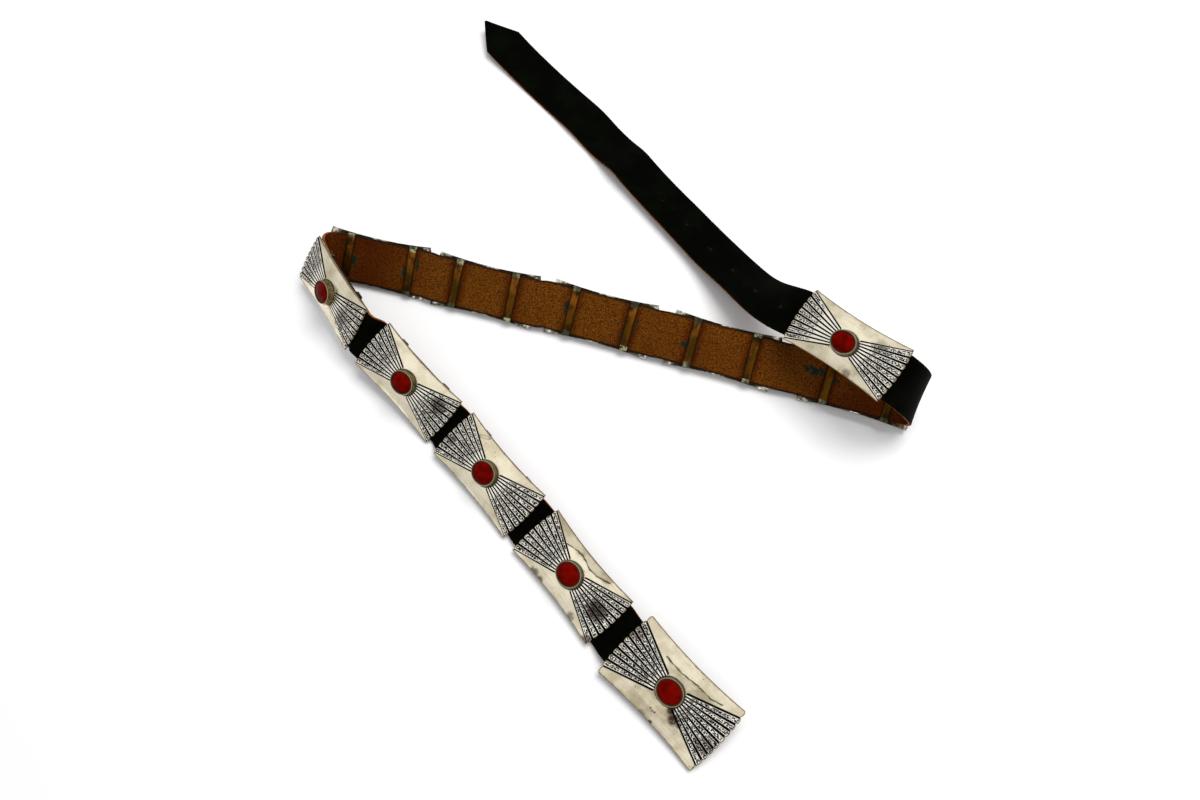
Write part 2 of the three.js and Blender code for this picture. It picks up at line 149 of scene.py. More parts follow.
# Outline of a bezel from its foot over the rim into the pocket. wall is the distance outside the stone's
# opening; height runs from the plate's surface (0) to the rim (1).
BEZEL_STEPS = table(
    "BezelStep", "wall height drop",
    (0.8, 0, 0.5), (1.08, 0, 0.1), (1.14, 0.03, 0), (1.08, 0.085, 0), (0.94, 0.1, 0), (0.86, 0.12, 0),
    (0.82, 0.22, 0), (0.74, 0.42, 0), (0.64, 0.62, 0), (0.54, 0.8, 0), (0.5, 0.87, 0), (0.54, 0.91, 0),
    (0.5, 0.95, 0), (0.36, 0.985, 0), (0.18, 1, 0), (-0.05, 1, 0), (-0.3, 0.99, 0), (-0.52, 0.975, 0),
    (-0.62, 0.955, 0), (-0.56, 0.94, 0), (-0.2, 0.87, 0), (0, 0.7, 0), (0, 0.05, 0), (0.1, 0, 0.5),
)

# Folds that hammering left across the plain sides, shown with painted shade in and beside each fold and over
# its dull zone: which plate and side, whether the dull zone lies outside (1) or inside (-1) of them, how dark
# they are, and their course as shares of the plate's half length and half width
CREASES = table(
    "Crease", "plate side dull dark along across",
    (0, -1, -1, 1.4, (-0.72, -0.5, -0.25, 0.05, 0.26, 0.44), (0.72, 0.6, 0.6, 0.535, 0.535, 0.56)),
    (0, 1, -1, 0.45, (-0.5, -0.28, -0.1, 0.13, 0.34, 0.58), (0.5, 0.47, 0.56, 0.577, 0.54, 0.6)),
    (
        1, -1, 1, 1.5,
        (-0.57, -0.53, -0.33, -0.14, -0.04, 0.12, 0.32, 0.49),
        (0.93, 0.8, 0.636, 0.585, 0.641, 0.698, 0.618, 0.5),
    ),
)

# Low waves that run across the tail: height in millimetres, and middle and half length as shares of the tail
RIPPLES = table("Ripple", "height middle spread", (2.2, 0.515, 0.035), (1.8, 0.655, 0.05))

# Under side of a plate, from its edge inwards: distance in from the edge and height above its base in
# millimetres, and share of the dome's rise
UNDER_STEPS = table("UnderStep", "inset lift domed", (0.0, 0.2, 0), (0.25, 0.0, 0), (3.0, 0.0, 0.85))

# Small oval scratch: its plate, its middle as shares, its half length and width in millimetres and its turn
SCRATCHES = table("Scratch", "plate along across length width turn", (2, 0.51, -0.746, 3.8, 0.95, 0.52))

# Green bloom on the suede: plate, place in millimetres along and across it, and its half length and width
BLOOMS = table(
    "Bloom", "plate x y length width",
    (9, -30, -3, 9, 3), (9, -15, 0, 3, 2), (8, -25.5, 2, 2.4, 2.2), (8, -15, 3, 2.4, 2.2),
    (7, -24.6, -2, 1.2, 6), (7, 24.6, -2, 1.1, 6), (5, 20.6, 1, 1.4, 4), (5, 29.6, -5, 1.4, 5),
    (5, -15.9, 2, 1.3, 6),
)

# Dull patches, then brown stains and pits: plate, middle as shares of half its length and width, radius in
# millimetres, and strength
DULLS = table(
    "Dull", "plate along across radius strength",
    (0, 0.1, 0.95, 44, 0.75), (0, 0.1, 0.4, 14, 0.95), (10, 0.75, -0.85, 26, 0.75), (10, -0.2, -1.0, 12, 0.5),
    (10, -0.5, 0.9, 12, 0.4), (4, 0.1, -0.5, 9, 0.5), (2, -0.5, 0.9, 12, 0.4), (3, 0.5, 0.9, 12, 0.4),
)
STAINS = table(
    "Stain", "plate along across radius strength",
    (0, -0.2, 0.3, 3.4, 1.0), (0, -0.31, 0.42, 4.4, 1.0), (0, -0.42, 0.42, 2.5, 0.8),
    (0, 0.045, 0.62, 0.9, 1.0), (0, -0.004, 0.645, 0.9, 1.0), (0, -0.044, 0.63, 0.8, 1.0),
    (0, -0.09, 0.885, 1.7, 1.0), (0, 0.97, -0.45, 8, 0.5), (0, -0.9, 0.3, 8, 0.5), (0, 0.1, 0.93, 4, 0.5),
    (1, -0.72, 0.06, 9, 0.9), (1, 0.47, 0.9, 5, 0.8),
    (1, 0.3, 0.88, 3, 0.8), (1, -0.5, 0.84, 4, 0.7), (1, -0.96, 0.95, 5, 0.8), (2, 0.91, 0.17, 5, 0.6),
    (3, -0.75, -0.28, 8, 0.8), (4, -0.6, 0.1, 8, 0.5), (10, -0.5, -0.5, 6, 0.4), (10, -0.3, 0.8, 4, 0.6),
)


def length_of(name, description, default):
    """Setting for a length"""
    return FloatProperty(name=name, description=description, default=default, unit="LENGTH")


def colour_of(name, description, default):
    """Setting for a colour"""
    return FloatVectorProperty(name=name, description=description, default=default, subtype="COLOR")


class StrapSettings(bpy.types.PropertyGroup):
    """Sizes and colours of the leather strap"""

    strap_width: length_of("Width", "Width of the strap", 0.032)
    strap_thick: length_of("Thickness", "Thickness of the leather", 0.0024)
    strap_bevel: length_of("Edge rounding", "Rounding of the edges", 0.0006)
    tail: length_of("Tail", "Plain length past the last concho", 0.3765)
    point: length_of("Point", "Length of the pointed tip", 0.024)
    tip: length_of("Tip", "Width at the very tip", 0.0016)
    overlap: length_of("Start", "Strap past the first loop", 0.0015)
    hole_count: IntProperty(name="Holes", description="Number of holes", default=6, min=0)
    hole_size: length_of("Hole", "Diameter of a hole", 0.0038)
    hole_pitch: length_of("Hole pitch", "Between two holes", 0.0274)
    first_hole: length_of("First hole", "From the last concho", 0.0145)
    section: length_of("Step", "Length of a mesh step", 0.0015)
    grain: colour_of("Grain side", "Dyed outer face", (0.0006, 0.0007, 0.0004))
    flesh: colour_of("Flesh side", "Suede inner face", (0.115, 0.036, 0.003))
    raw: colour_of("Raw edge", "Cut edge of the leather", (0.3, 0.088, 0.012))


class PlateSettings(bpy.types.PropertyGroup):
    """Sizes and colours of the concho plates and the buckle plate"""

    plate_length: length_of("Concho length", "Along the strap", 0.0724)
    gap: length_of("Gap", "Strap between two conchos", 0.011)
    overhang: length_of("Overhang", "Past the strap's edge", 0.0027)
    tab: length_of("Corner tab", "Plain corner beside the fan", 0.0008)
    buckle_length: length_of("Buckle length", "Along the strap", 0.0744)
    buckle_overhang: length_of("Buckle overhang", "Past the strap's edge", 0.0066)
    buckle_tab: length_of("Buckle corner tab", "Plain corner beside the fan", 0.0045)
    edge: length_of("Edge", "Thickness at the edge", 0.001)
    dome: length_of("Dome", "Rise to the middle", 0.004)
    hollow: length_of("Hollow", "Inward curve of the long sides", 0.002)
    bulge: length_of("Bulge", "Outward curve of the ends", 0.0016)
    ribs: IntProperty(name="Ribs", description="Ribs in a fan", default=8, min=2)
    relief: length_of("Relief", "Height of the ribs", 0.0007)
    scallop: length_of("Scallop", "Depth of the notches", 0.0013)
    fan_start: length_of("Fan start", "From the middle", 0.0066)
    fan_half: length_of("Fan start half", "Half width there", 0.0056)
    silver: colour_of("Silver", "Polished silver", (0.94, 0.86, 0.66))
    tarnish: colour_of("Tarnish", "Brown tarnish at edges", (0.17, 0.095, 0.032))
    oxide: colour_of("Oxide", "Blackened grooves", (0.0015, 0.002, 0.0035))


class StoneSettings(bpy.types.PropertyGroup):
    """Sizes and colours of the coral stones and their bezels"""

    stone_length: length_of("Length", "Along the strap", 0.0156)
    stone_width: length_of("Width", "Across the strap", 0.013)
    stone_height: length_of("Height", "Height of the stone", 0.005)
    fit: length_of("Fit", "Space left around it", 0.0003)
    bezel: length_of("Bezel", "Height of the bezel", 0.0043)
    coral: colour_of("Coral", "Red of the coral", (0.108, 0.0012, 0.0002))
    brass: colour_of("Bezel metal", "Aged metal of the bezels", (0.25, 0.185, 0.068))


class LoopSettings(bpy.types.PropertyGroup):
    """Sizes and colours of the copper loops and the hook behind the plates"""

    loop_spacing: length_of("Spacing", "Between two loops", 0.0405)
    loop_width: length_of("Width", "Width of a loop", 0.006)
    loop_thick: length_of("Thickness", "Thickness of a loop", 0.0007)
    hook_width: length_of("Hook width", "Width of the hook", 0.005)
    hook_thick: length_of("Hook stock", "Its thickness", 0.0017)
    hook_reach: length_of("Hook reach", "Length of the hook", 0.008)
    copper: colour_of("Copper", "Aged copper", (0.1, 0.037, 0.003))
    solder: colour_of("Solder", "Grey-green solder tabs", (0.1, 0.1, 0.05))
    verdigris: colour_of("Verdigris", "Green bloom on the copper", (0.0015, 0.015, 0.0105))


class StageSettings(bpy.types.PropertyGroup):
    """Floor, light and camera"""

    camera_east: length_of("Camera east", "From the belt's own origin", -0.00003)
    camera_north: length_of("Camera north", "From the belt's own origin", -0.3125)
    camera_height: length_of("Camera height", "Above the floor", 0.5467)
    camera_pitch: FloatProperty(
        name="Camera pitch", description="Below the horizon", default=math.radians(64.73), subtype="ANGLE"
    )
    lens: FloatProperty(name="Lens", description="Focal length in millimetres, 36 mm sensor", default=27.36)
    floor: colour_of("Floor", "Pale floor", (0.66, 0.66, 0.665))


class BeltSettings(bpy.types.PropertyGroup):
    """All settings of the belt"""

    strap: PointerProperty(type=StrapSettings, name="Strap", description="Leather strap")
    plate: PointerProperty(type=PlateSettings, name="Plates", description="Silver plates")
    stone: PointerProperty(type=StoneSettings, name="Stones", description="Coral stones and bezels")
    loop: PointerProperty(type=LoopSettings, name="Loops", description="Copper loops and the hook")
    stage: PointerProperty(type=StageSettings, name="Stage", description="Floor, light and camera")


class Sizes:
    """Lengths in millimetres: the settings by their own names, and those that follow from them"""

    def __init__(self, belt):
        for group in (belt.strap, belt.plate, belt.stone, belt.loop):
            for name, setting in group.bl_rna.properties.items():
                if setting.type in ("INT", "FLOAT"):
                    value = getattr(group, name)
                    setattr(self, name, value * METRE if setting.unit == "LENGTH" else value)
        self.holes = [self.first_hole + k * self.hole_pitch for k in range(self.hole_count)]
        self.pitch = self.plate_length + self.gap
        self.plate_base = self.strap_thick / 2 + self.fit
        self.plate_skin = self.plate_base + self.edge
        self.plate_top = self.plate_skin + self.dome
        self.bezel_top = self.plate_top + self.bezel
        self.stone_seat = self.plate_top + self.fit
        self.loop_outer = self.strap_width / 2 + self.fit + self.loop_thick
        self.loop_floor = -self.plate_base - self.loop_thick
        self.hold_half = (self.loop_spacing + self.loop_width) / 2
        self.concho = self.outline(self.plate_length, self.overhang, self.tab)
        self.buckle = self.outline(self.buckle_length, self.buckle_overhang, self.buckle_tab)

    def outline(self, length, overhang, tab):
        """Sizes of a plate: its length, width and corner tab, how far its longest ribs reach, half the width
        of its fans' ends, and the depth of the notch beside a corner tab"""
        width = self.strap_width + 2 * overhang
        return SimpleNamespace(
            length=length, width=width, tab=tab, reach=length / 2 + self.bulge,
            fan_end=width / 2 - tab, border=min(self.scallop, tab / 2),
        )

    def pocket(self, angles, wall):
        """Points at some angles round the stone's opening, a wall's thickness outside of it"""
        across = (self.stone_width / 2 + self.fit + wall) * np.sin(angles)
        return (self.stone_length / 2 + self.fit + wall) * np.cos(angles), across


def round_angles(turns):
    return np.arange(turns) / turns * 2 * math.pi


def directions(heading, lean, slope, face_up=True):
    """Directions along and across the strap's grain face"""
    flat = math.cos(slope)
    along = np.array([math.cos(heading) * flat, math.sin(heading) * flat, math.sin(slope)])
    side = 1 if face_up else -1
    level = np.array([-math.sin(heading), math.cos(heading), 0.0]) * side
    up = np.cross(along, level) * side
    return along, level * math.cos(lean) - up * math.sin(lean)


class Lie:
    """Where a plate or a stretch of strap lies: its centre and its directions along, across and out"""

    def __init__(self, centre, along, across, row=None, plate=None):
        self.centre = centre
        self.along = along
        self.across = across
        self.out = np.cross(along, across)
        self.row = row
        self.plate = plate

    def place(self, points):
        """Points of the plate's own frame, moved to where it lies"""
        return self.centre + np.asarray(points, float) @ np.array([self.along, self.across, self.out])

    def held(self, x):
        """The strap's place at a distance along the plate"""
        return Lie(self.place((x, 0, 0)), self.along, self.across)


def lowest_of(lie, sizes):
    """Lowest point of a plate with its loops, stone and stretch of strap"""
    plate = lie.plate
    tests = [(0, 0, sizes.stone_seat + sizes.stone_height)]
    for end in (-1, 1):
        for side in (-1, 1):
            for z in (sizes.plate_base, sizes.plate_skin):
                tests.append((end * plate.length / 2, side * plate.width / 2, z))
            x = end * sizes.hold_half
            tests.append((x, side * sizes.loop_outer, sizes.loop_floor + LOOP_BEND))
            tests.append((x, side * (sizes.loop_outer - LOOP_BEND), sizes.loop_floor))
            tests.append((end * plate.reach, side * sizes.strap_width / 2, -sizes.strap_thick / 2))
    for x, y in zip(*sizes.pocket(round_angles(16), SOLID_RIM)):
        tests.append((x, y, sizes.bezel_top))
    return lie.place(tests)[:, 2].min()


def plate_lies(sizes):
    """Lie of every plate, from the buckle on"""
    lies = []
    face_up = True
    for row in PLATE_ROWS:
        plate = sizes.concho if lies else sizes.buckle
        turns = [math.radians(angle) for angle in (row.heading, row.lean, row.slope)]
        lie = Lie(np.zeros(3), *directions(*turns, face_up), row, plate)
        height = row.lift * sizes.strap_width - lowest_of(lie, sizes)
        lie.centre = np.array([row.east * sizes.pitch, row.north * sizes.pitch, height])
        lies.append(lie)
        if row.fold > 0:
            face_up = not face_up
    return lies


def shift_to_frame(sizes, lies):
    """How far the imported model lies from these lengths' own origin, by the stone of the middle concho"""
    tests = []
    for radius, share in ((1, 0), (1, 0.62), (0.86, 0.8), (0.5, 0.95), (0, 1)):
        for angle in round_angles(16):
            x = radius * sizes.stone_length / 2 * math.sin(angle)
            y = radius * sizes.stone_width / 2 * math.cos(angle)
            tests.append((x, y, sizes.stone_seat + share * sizes.stone_height))
    points = lies[7].place(tests)
    low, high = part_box("stone_07")
    return (np.array(low) + np.array(high)) / 2 * METRE - (points.min(0) + points.max(0)) / 2


def unit(vectors):
    return vectors / np.linalg.norm(vectors, axis=-1, keepdims=True)


def smooth_share(value, low, high):
    share = np.clip((value - low) / (high - low), 0, 1)
    return share * share * (3 - 2 * share)


def curve(a, slope_a, b, slope_b, t):
    """Smooth curve from one value to another that leaves and meets them with given slopes"""
    start, end = 2 * t**3 - 3 * t**2 + 1, 3 * t**2 - 2 * t**3
    return start * a + (t**3 - 2 * t**2 + t) * slope_a + end * b + (t**3 - t**2) * slope_b


def curve_slope(a, slope_a, b, slope_b, t):
    steep = 6 * t**2 - 6 * t
    return steep * a + (3 * t**2 - 4 * t + 1) * slope_a - steep * b + (3 * t**2 - 2 * t) * slope_b


def link_places(start, end, handle, steps):
    """Places between two held stretches, on a smooth curve that leaves and meets them in line"""
    places = []
    ends = (start.centre, start.along * handle, end.centre, end.along * handle)
    for t in np.arange(1, steps) / steps:
        along = unit(curve_slope(*ends, t))
        blend = smooth_share(t, 0, 1)
        across = start.across * (1 - blend) + end.across * blend
        places.append(Lie(curve(*ends, t), along, unit(across - along * (across @ along))))
    return places


def smooth_row(values, t):
    """Smooth value between rows, t counted in rows"""
    steps = np.diff(values)
    slopes = [steps[0]]
    for before, after in zip(steps, steps[1:]):
        slopes.append(0 if before * after <= 0 else (before + after) / 2)
    slopes.append(steps[-1])
    k = min(int(t), len(steps) - 1)
    return curve(values[k], slopes[k], values[k + 1], slopes[k + 1], t - k)


def tail_places(last, sizes):
    """Places on the plain tail, which comes down from the last concho and lies out flat"""
    row_steps = 12
    centre = last.held(last.plate.reach).centre
    heading = [last.row.heading] + [row.heading for row in TAIL_ROWS]
    lean = [last.row.lean] + [row.lean for row in TAIL_ROWS]
    height = [centre[2]]
    for row in TAIL_ROWS:
        tilt = abs(math.sin(math.radians(row.lean))) * sizes.strap_width / 2
        height.append(row.clear * sizes.strap_width + sizes.strap_thick / 2 + tilt)
    steps = len(TAIL_ROWS) * row_steps
    step_length = sizes.tail / steps
    places = []
    for step in range(1, steps + 1):
        t = step / row_steps
        rise = smooth_row(height, t) - centre[2]
        run = math.sqrt(max(step_length**2 - rise**2, 0))
        turn = math.radians(smooth_row(heading, t - 0.5 / row_steps))
        centre = centre + np.array([run * math.cos(turn), run * math.sin(turn), rise])
        tilt = math.radians(smooth_row(lean, t))
        places.append(Lie(centre, *directions(turn, tilt, math.atan2(rise, run))))
    return places


class StrapPath:
    """The strap's middle line, with places looked up by their distance from its start"""

    def __init__(self, lies, sizes):
        fold_steps, gap_steps = 72, 10
        places = [lies[0].held(-sizes.hold_half - sizes.overlap), lies[0].held(lies[0].plate.reach)]
        ends = [(0, 1)]
        for before, lie in zip(lies, lies[1:]):
            handle = before.row.fold * sizes.strap_width
            start = lie.held(-(sizes.hold_half if handle else lie.plate.reach))
            end = lie.held(sizes.hold_half if lie.row.fold else lie.plate.reach)
            straight = np.linalg.norm(start.centre - places[-1].centre)
            places += link_places(places[-1], start, handle or straight, fold_steps if handle else gap_steps)
            ends.append((len(places), len(places) + 1))
            places += [start, end]
        tail_start = len(places) - 1
        places += tail_places(lies[-1], sizes)
        self.centres = np.array([place.centre for place in places])
        self.acrosses = np.array([place.across for place in places])
        steps = np.linalg.norm(np.diff(self.centres, axis=0), axis=1)
        self.distances = np.concatenate([[0], np.cumsum(steps)])
        self.length = self.distances[-1]
        self.tail_from = self.distances[tail_start]
        self.holds = [(self.distances[start], self.distances[end]) for start, end in ends]
        self.back_from = self.holds[5][0]
        self.back_to = self.holds[9][1]

    def at(self, distances):
        """Centre, across and out at some distances"""
        centre, across = (
            np.stack([np.interp(distances, self.distances, line[:, k]) for k in range(3)], 1)
            for line in (self.centres, self.acrosses)
        )
        along = unit(np.gradient(centre, distances, axis=0))
        across = unit(across - along * (across * along).sum(1)[:, None])
        return centre, across, np.cross(along, across)


def section_ring(sizes):
    """Points (across, out) round the strap's section, from the lower right, and the finish of each side"""
    half, thick, bevel = sizes.strap_width / 2, sizes.strap_thick / 2, sizes.strap_bevel
    flat = [0, 1.5, 3.0, 5.5, 8.5, 11.5, 13.7, half - bevel]
    flat = [-y for y in flat[:0:-1]] + flat
    rise = [math.radians(angle) for angle in (0, 30, 60)]
    y, z = half - bevel, thick - bevel
    corners = [
        [(side * (y + bevel * math.cos(angle)), top * (z + bevel * math.sin(angle))) for angle in angles]
        for side, top, angles in ((1, -1, rise[::-1]), (1, 1, rise), (-1, 1, rise[::-1]), (-1, -1, rise))
    ]
    ring = corners[0] + corners[1] + [(y, thick) for y in reversed(flat)]
    ring += corners[2] + corners[3] + [(y, -thick) for y in flat]
    finish = [RAW] * 3 + [GRAIN] * (4 + len(flat)) + [RAW] * 5 + [FLESH] * (len(flat) - 1) + [RAW]
    return np.array(ring), finish


def wave(values, seed, count=5, longest=90.0, shortest=14.0):
    """Smooth uneven waves between about -1 and 1 along some distances"""
    rng = np.random.default_rng(seed)
    total = np.zeros_like(values, dtype=float)
    for length in np.geomspace(longest, shortest, count):
        total += np.sin(values / length * 2 * math.pi + rng.uniform(0, 2 * math.pi)) * rng.uniform(0.5, 1)
    return total / count


def above_floor(points):
    """The points, with those that would lie lower moved up to the gap above the floor"""
    points[:, 2] = np.maximum(points[:, 2], FLOOR_GAP)
    return points


def new_piece(name, points, faces, finishes, node, finish_of, uv, masks, sharp=40):
    """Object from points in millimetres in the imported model's frame. It stands for the named node."""
    mesh = bpy.data.meshes.new(name)
    mesh.from_pydata((points / METRE).tolist(), [], [tuple(face) for face in faces])
    for finish in finishes:
        mesh.materials.append(finish)
    if finish_of is not None:
        mesh.polygons.foreach_set("material_index", np.asarray(finish_of, dtype=np.int32))
    corners = np.zeros(len(mesh.loops), dtype=np.int32)
    mesh.loops.foreach_get("vertex_index", corners)
    layer = mesh.uv_layers.new(name="Lay")
    layer.data.foreach_set("uv", (uv / METRE)[corners].astype(np.float32).ravel())
    for mask, values in (masks or {}).items():
        attribute = mesh.color_attributes.new(name=mask, type="FLOAT_COLOR", domain="POINT")
        attribute.data.foreach_set("color", np.asarray(values, dtype=np.float32).ravel())
    mesh.update()
    mesh.shade_smooth()
    mesh.set_sharp_from_angle(angle=math.radians(sharp))
    piece = bpy.data.objects.new(name, mesh)
    bpy.context.scene.collection.objects.link(piece)
    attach(piece, "root")
    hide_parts(node)


# A plate's name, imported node, stone node, number, lie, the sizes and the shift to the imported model's frame
Spot = namedtuple("Spot", "name node stone index lie sizes shift")


def plate_piece(kind, spot, points, faces, finishes, finish_of=None, uv=None, masks=None, sharp=40):
    """Object from points in millimetres in a plate's own frame"""
    slot, node = ("coral", spot.stone) if kind == "coral" else ("silver", spot.node)
    lay = (points[:, :2] if uv is None else uv) + np.array([LAY_STEP * spot.index, 0])
    placed = above_floor(spot.lie.place(points) + spot.shift)
    new_piece(f"{kind}_{spot.name}", placed, faces, finishes, node, finish_of, lay, masks, sharp)


def mask_of(total, rest, *values):
    """Four masks for each point: the values for the first points, in their order, and rest for all others"""
    mask = np.tile(np.array(rest, np.float32), (total, 1))
    for k, value in enumerate(values):
        mask[: value.size, k] = value.ravel()
    return mask


def quads_between(rings, sides):
    """Faces of a surface made of rings, each with the same number of points"""
    faces = []
    for low in range(0, (rings - 1) * sides, sides):
        for side in range(sides):
            after = (side + 1) % sides
            faces.append((low + side, low + after, low + sides + after, low + sides + side))
    return faces


def capped(rings, sides):
    """The same with both ends closed"""
    end = (rings - 1) * sides
    return quads_between(rings, sides) + [tuple(range(sides - 1, -1, -1)), tuple(range(end, end + sides))]


def build_strap(sizes, lies, shift, finishes):
    path = StrapPath(lies, sizes)
    tail_marks = [0, *sizes.holes, sizes.tail - sizes.point]
    marks = [0, *(path.tail_from + mark for mark in tail_marks), path.length]
    distances = [0.0]
    for start, end in zip(marks, marks[1:]):
        count = max(2, round((end - start) / sizes.section))
        distances += list(start + (end - start) * np.arange(1, count + 1) / count)
    distances = np.array(distances)
    centre, across, out = path.at(distances)
    ring, side_finish = section_ring(sizes)
    half = sizes.strap_width / 2
    tip_share = np.clip((path.length - distances) / sizes.point, 0, 1)
    narrow = (sizes.tip / 2 + (half - sizes.tip / 2) * tip_share) / half
    sway = wave(distances, SEEDS.sway) * SWAY * smooth_share(distances, path.tail_from, path.tail_from + 30)
    y = ring[None, :, 0] * narrow[:, None]
    z = ring[None, :, 1] + sway[:, None] * (ring[None, :, 0] / half) ** 2
    points = centre[:, None, :] + across[:, None, :] * y[..., None] + out[:, None, :] * z[..., None]
    share = (distances - path.tail_from) / sizes.tail
    for ripple in RIPPLES:
        points[..., 2] += ripple.height * np.exp(-(((share - ripple.middle) / ripple.spread) ** 2))[:, None]
    points = points.reshape(-1, 3)
    faces = capped(len(distances), len(ring))
    finish_of = side_finish * (len(distances) - 1) + [RAW, RAW]
    uv = np.stack([np.repeat(distances, len(ring)), np.tile(ring[:, 0], len(distances))], 1)
    points, faces, finish_of, uv = with_holes(points, faces, finish_of, uv, path, distances, ring, sizes)
    points = above_floor(points + shift)
    masks = {"Wear": strap_wear_and_shade(points, lies, sizes, shift, uv, path)}
    new_piece("strap_leather", points, faces, finishes, "strap", finish_of, uv, masks)


def with_holes(points, faces, finish_of, uv, path, distances, ring, sizes):
    """Cuts the belt holes: a square patch round each becomes a ring of faces with a wall through the strap"""
    sides = len(ring)
    middle_top, middle_low = (
        int(np.argmin(np.abs(ring[:, 0]) + (ring[:, 1] * face < 0) * sizes.strap_width)) for face in (1, -1)
    )
    patch = 2
    loop = [(patch, side) for side in range(-patch, patch)]
    loop += [(step, patch) for step in range(patch, -patch, -1)]
    loop += [(-step, -side) for step, side in loop]
    turns = len(loop)
    thick, radius = sizes.strap_thick / 2, sizes.hole_size / 2
    drop = set()
    extra_points, extra_uv, extra_faces, extra_finish = [], [], [], []
    for hole in sizes.holes:
        station = int(np.argmin(np.abs(distances - path.tail_from - hole)))

        def at(step, side, is_top):
            return (station + step) * sides + (middle_top - side if is_top else middle_low + side)

        for step in range(-patch, patch):
            for middle in (middle_top, middle_low):
                drop.update((station + step) * sides + middle + side for side in range(-patch, patch))
        top, low = points[at(0, 0, True)], points[at(0, 0, False)]
        out = unit(top - low)
        along = unit(points[at(1, 0, True)] - points[at(-1, 0, True)])
        across = np.cross(out, along)
        clear = SHUT_HOLE if hole <= sizes.tail * SHUT_WITHIN else OPEN_HOLE
        first = len(points) + len(extra_points)
        for reach, level in (
            (radius + 0.15, thick), (radius * 0.7, thick - 0.35), (radius * max(clear, 0.3), 0.3 - thick),
            (radius * clear, -thick),
        ):
            for step, side in loop:
                angle = math.atan2(side, step)
                x, y = reach * HOLE_LONG * math.cos(angle), reach * math.sin(angle)
                extra_points.append((top + low) / 2 + along * x + across * y + out * level)
                extra_uv.append((distances[station] + x, y))
        for k in range(turns):
            n = (k + 1) % turns
            extra_faces.append((at(*loop[k], True), at(*loop[n], True), first + n, first + k))
            end = first + 3 * turns
            extra_faces.append((at(*loop[n], False), at(*loop[k], False), end + k, end + n))
            for a in range(first, end, turns):
                extra_faces.append((a + k, a + n, a + turns + n, a + turns + k))
            extra_finish += [GRAIN, FLESH, GRAIN, RAW, RAW]
    faces = [face for k, face in enumerate(faces) if k not in drop] + extra_faces
    finish_of = [value for k, value in enumerate(finish_of) if k not in drop] + extra_finish
    points = np.concatenate([points, extra_points])
    uv = np.concatenate([uv, extra_uv])
    used = np.zeros(len(points), bool)
    for face in faces:
        used[list(face)] = True
    number = np.cumsum(used) - 1
    faces = [tuple(number[k] for k in face) for face in faces]
    return points[used], faces, finish_of, uv[used]


def strap_wear_and_shade(points, lies, sizes, shift, uv, path):
    """Masks of the strap: red for stains near a loop and painted shade at the back run's ends, green round a
    hole or under bloom, blue for painted shade on the edges, alpha rims
    """
    run, side = uv[:, 0], uv[:, 1]
    loop_stain_and_end_shade, near_hole = np.zeros(len(points)), np.zeros(len(points))
    for lie in lies:
        for x in (-sizes.loop_spacing / 2, lie.row.far * sizes.loop_spacing / 2):
            offset = points - lie.place((x, 0, 0)) - shift
            along = offset @ lie.along
            reach = np.linalg.norm(offset - np.outer(along, lie.along), axis=1)
            loop_stain_and_end_shade = np.maximum(loop_stain_and_end_shade, (1 - smooth_share(np.abs(along), 3, 9)) * (reach < 22))
    # Painted shade that fades out from the two ends of the back run, with a fainter, longer fade at its far
    # end
    for place, strength, low, high in (
        (path.back_from, 0.95, 15, 75), (path.back_to, 0.95, 15, 75), (path.back_to, 0.2, 130, 240),
    ):
        loop_stain_and_end_shade = np.maximum(loop_stain_and_end_shade, strength * (1 - smooth_share(np.abs(run - place), low, high)))
    for hole in sizes.holes:
        away = np.hypot(run - path.tail_from - hole, side)
        near_hole = np.maximum(near_hole, 1 - smooth_share(away, 2.0, 3.0))
    for bloom in BLOOMS:
        lie = lies[bloom.plate]
        offset = points - lie.place((bloom.x, bloom.y, 0)) - shift
        away = np.hypot((offset @ lie.along) / bloom.length, (offset @ lie.across) / bloom.width)
        mask = (1 - smooth_share(away, 0.5, 1.3)) * (np.abs(offset @ lie.out) < 5)
        near_hole = np.maximum(near_hole, mask)
    # Painted shade on the edges: along the back run, under each plate and along one edge of the tail
    edge_shade = smooth_share(run, path.back_from - 20, path.back_from)
    edge_shade *= 1 - smooth_share(run, path.back_to, path.back_to + 12)
    for start, end in path.holds:
        held = smooth_share(run, start + 1, start + 6) * (1 - smooth_share(run, end - 6, end - 1))
        edge_shade = np.maximum(edge_shade, held)
    edge_shade = np.maximum(edge_shade, smooth_share(run, path.back_to, path.back_to + 20) * (side < 0))
    edge = smooth_share(np.abs(side), sizes.strap_width / 2 - 2.5, sizes.strap_width / 2)
    return np.stack([loop_stain_and_end_shade, near_hole, edge_shade, edge], 1)


def side_half(plate, sizes, x):
    """Half a plate's width at some places along it"""
    return plate.width / 2 - sizes.hollow * np.maximum(0, 1 - (2 * x / plate.length) ** 2)


def dome_at(plate, sizes, x, y):
    """Rise of a plate's dome at some places"""
    along = np.minimum(np.abs(2 * x / plate.length), 1)
    across = np.minimum(np.abs(y) / side_half(plate, sizes, x), 1)
    return sizes.dome * (1 - along**2) * (1 - across**2) ** 0.7


def fan_tip(plate, sizes, share):
    """How far a fan reaches at a share of its width"""
    return plate.length / 2 + sizes.bulge * (1 - (share * plate.fan_end / (plate.width / 2)) ** 2)


# A line that runs from end to end of a plate: how far it reaches; its relief, stamping, groove and bright
# rim; how far out it lies on the plain side (0 on a rib); its rib and its place across that; and its course
Line = namedtuple("Line", "end height mark groove rim blend rib place across")


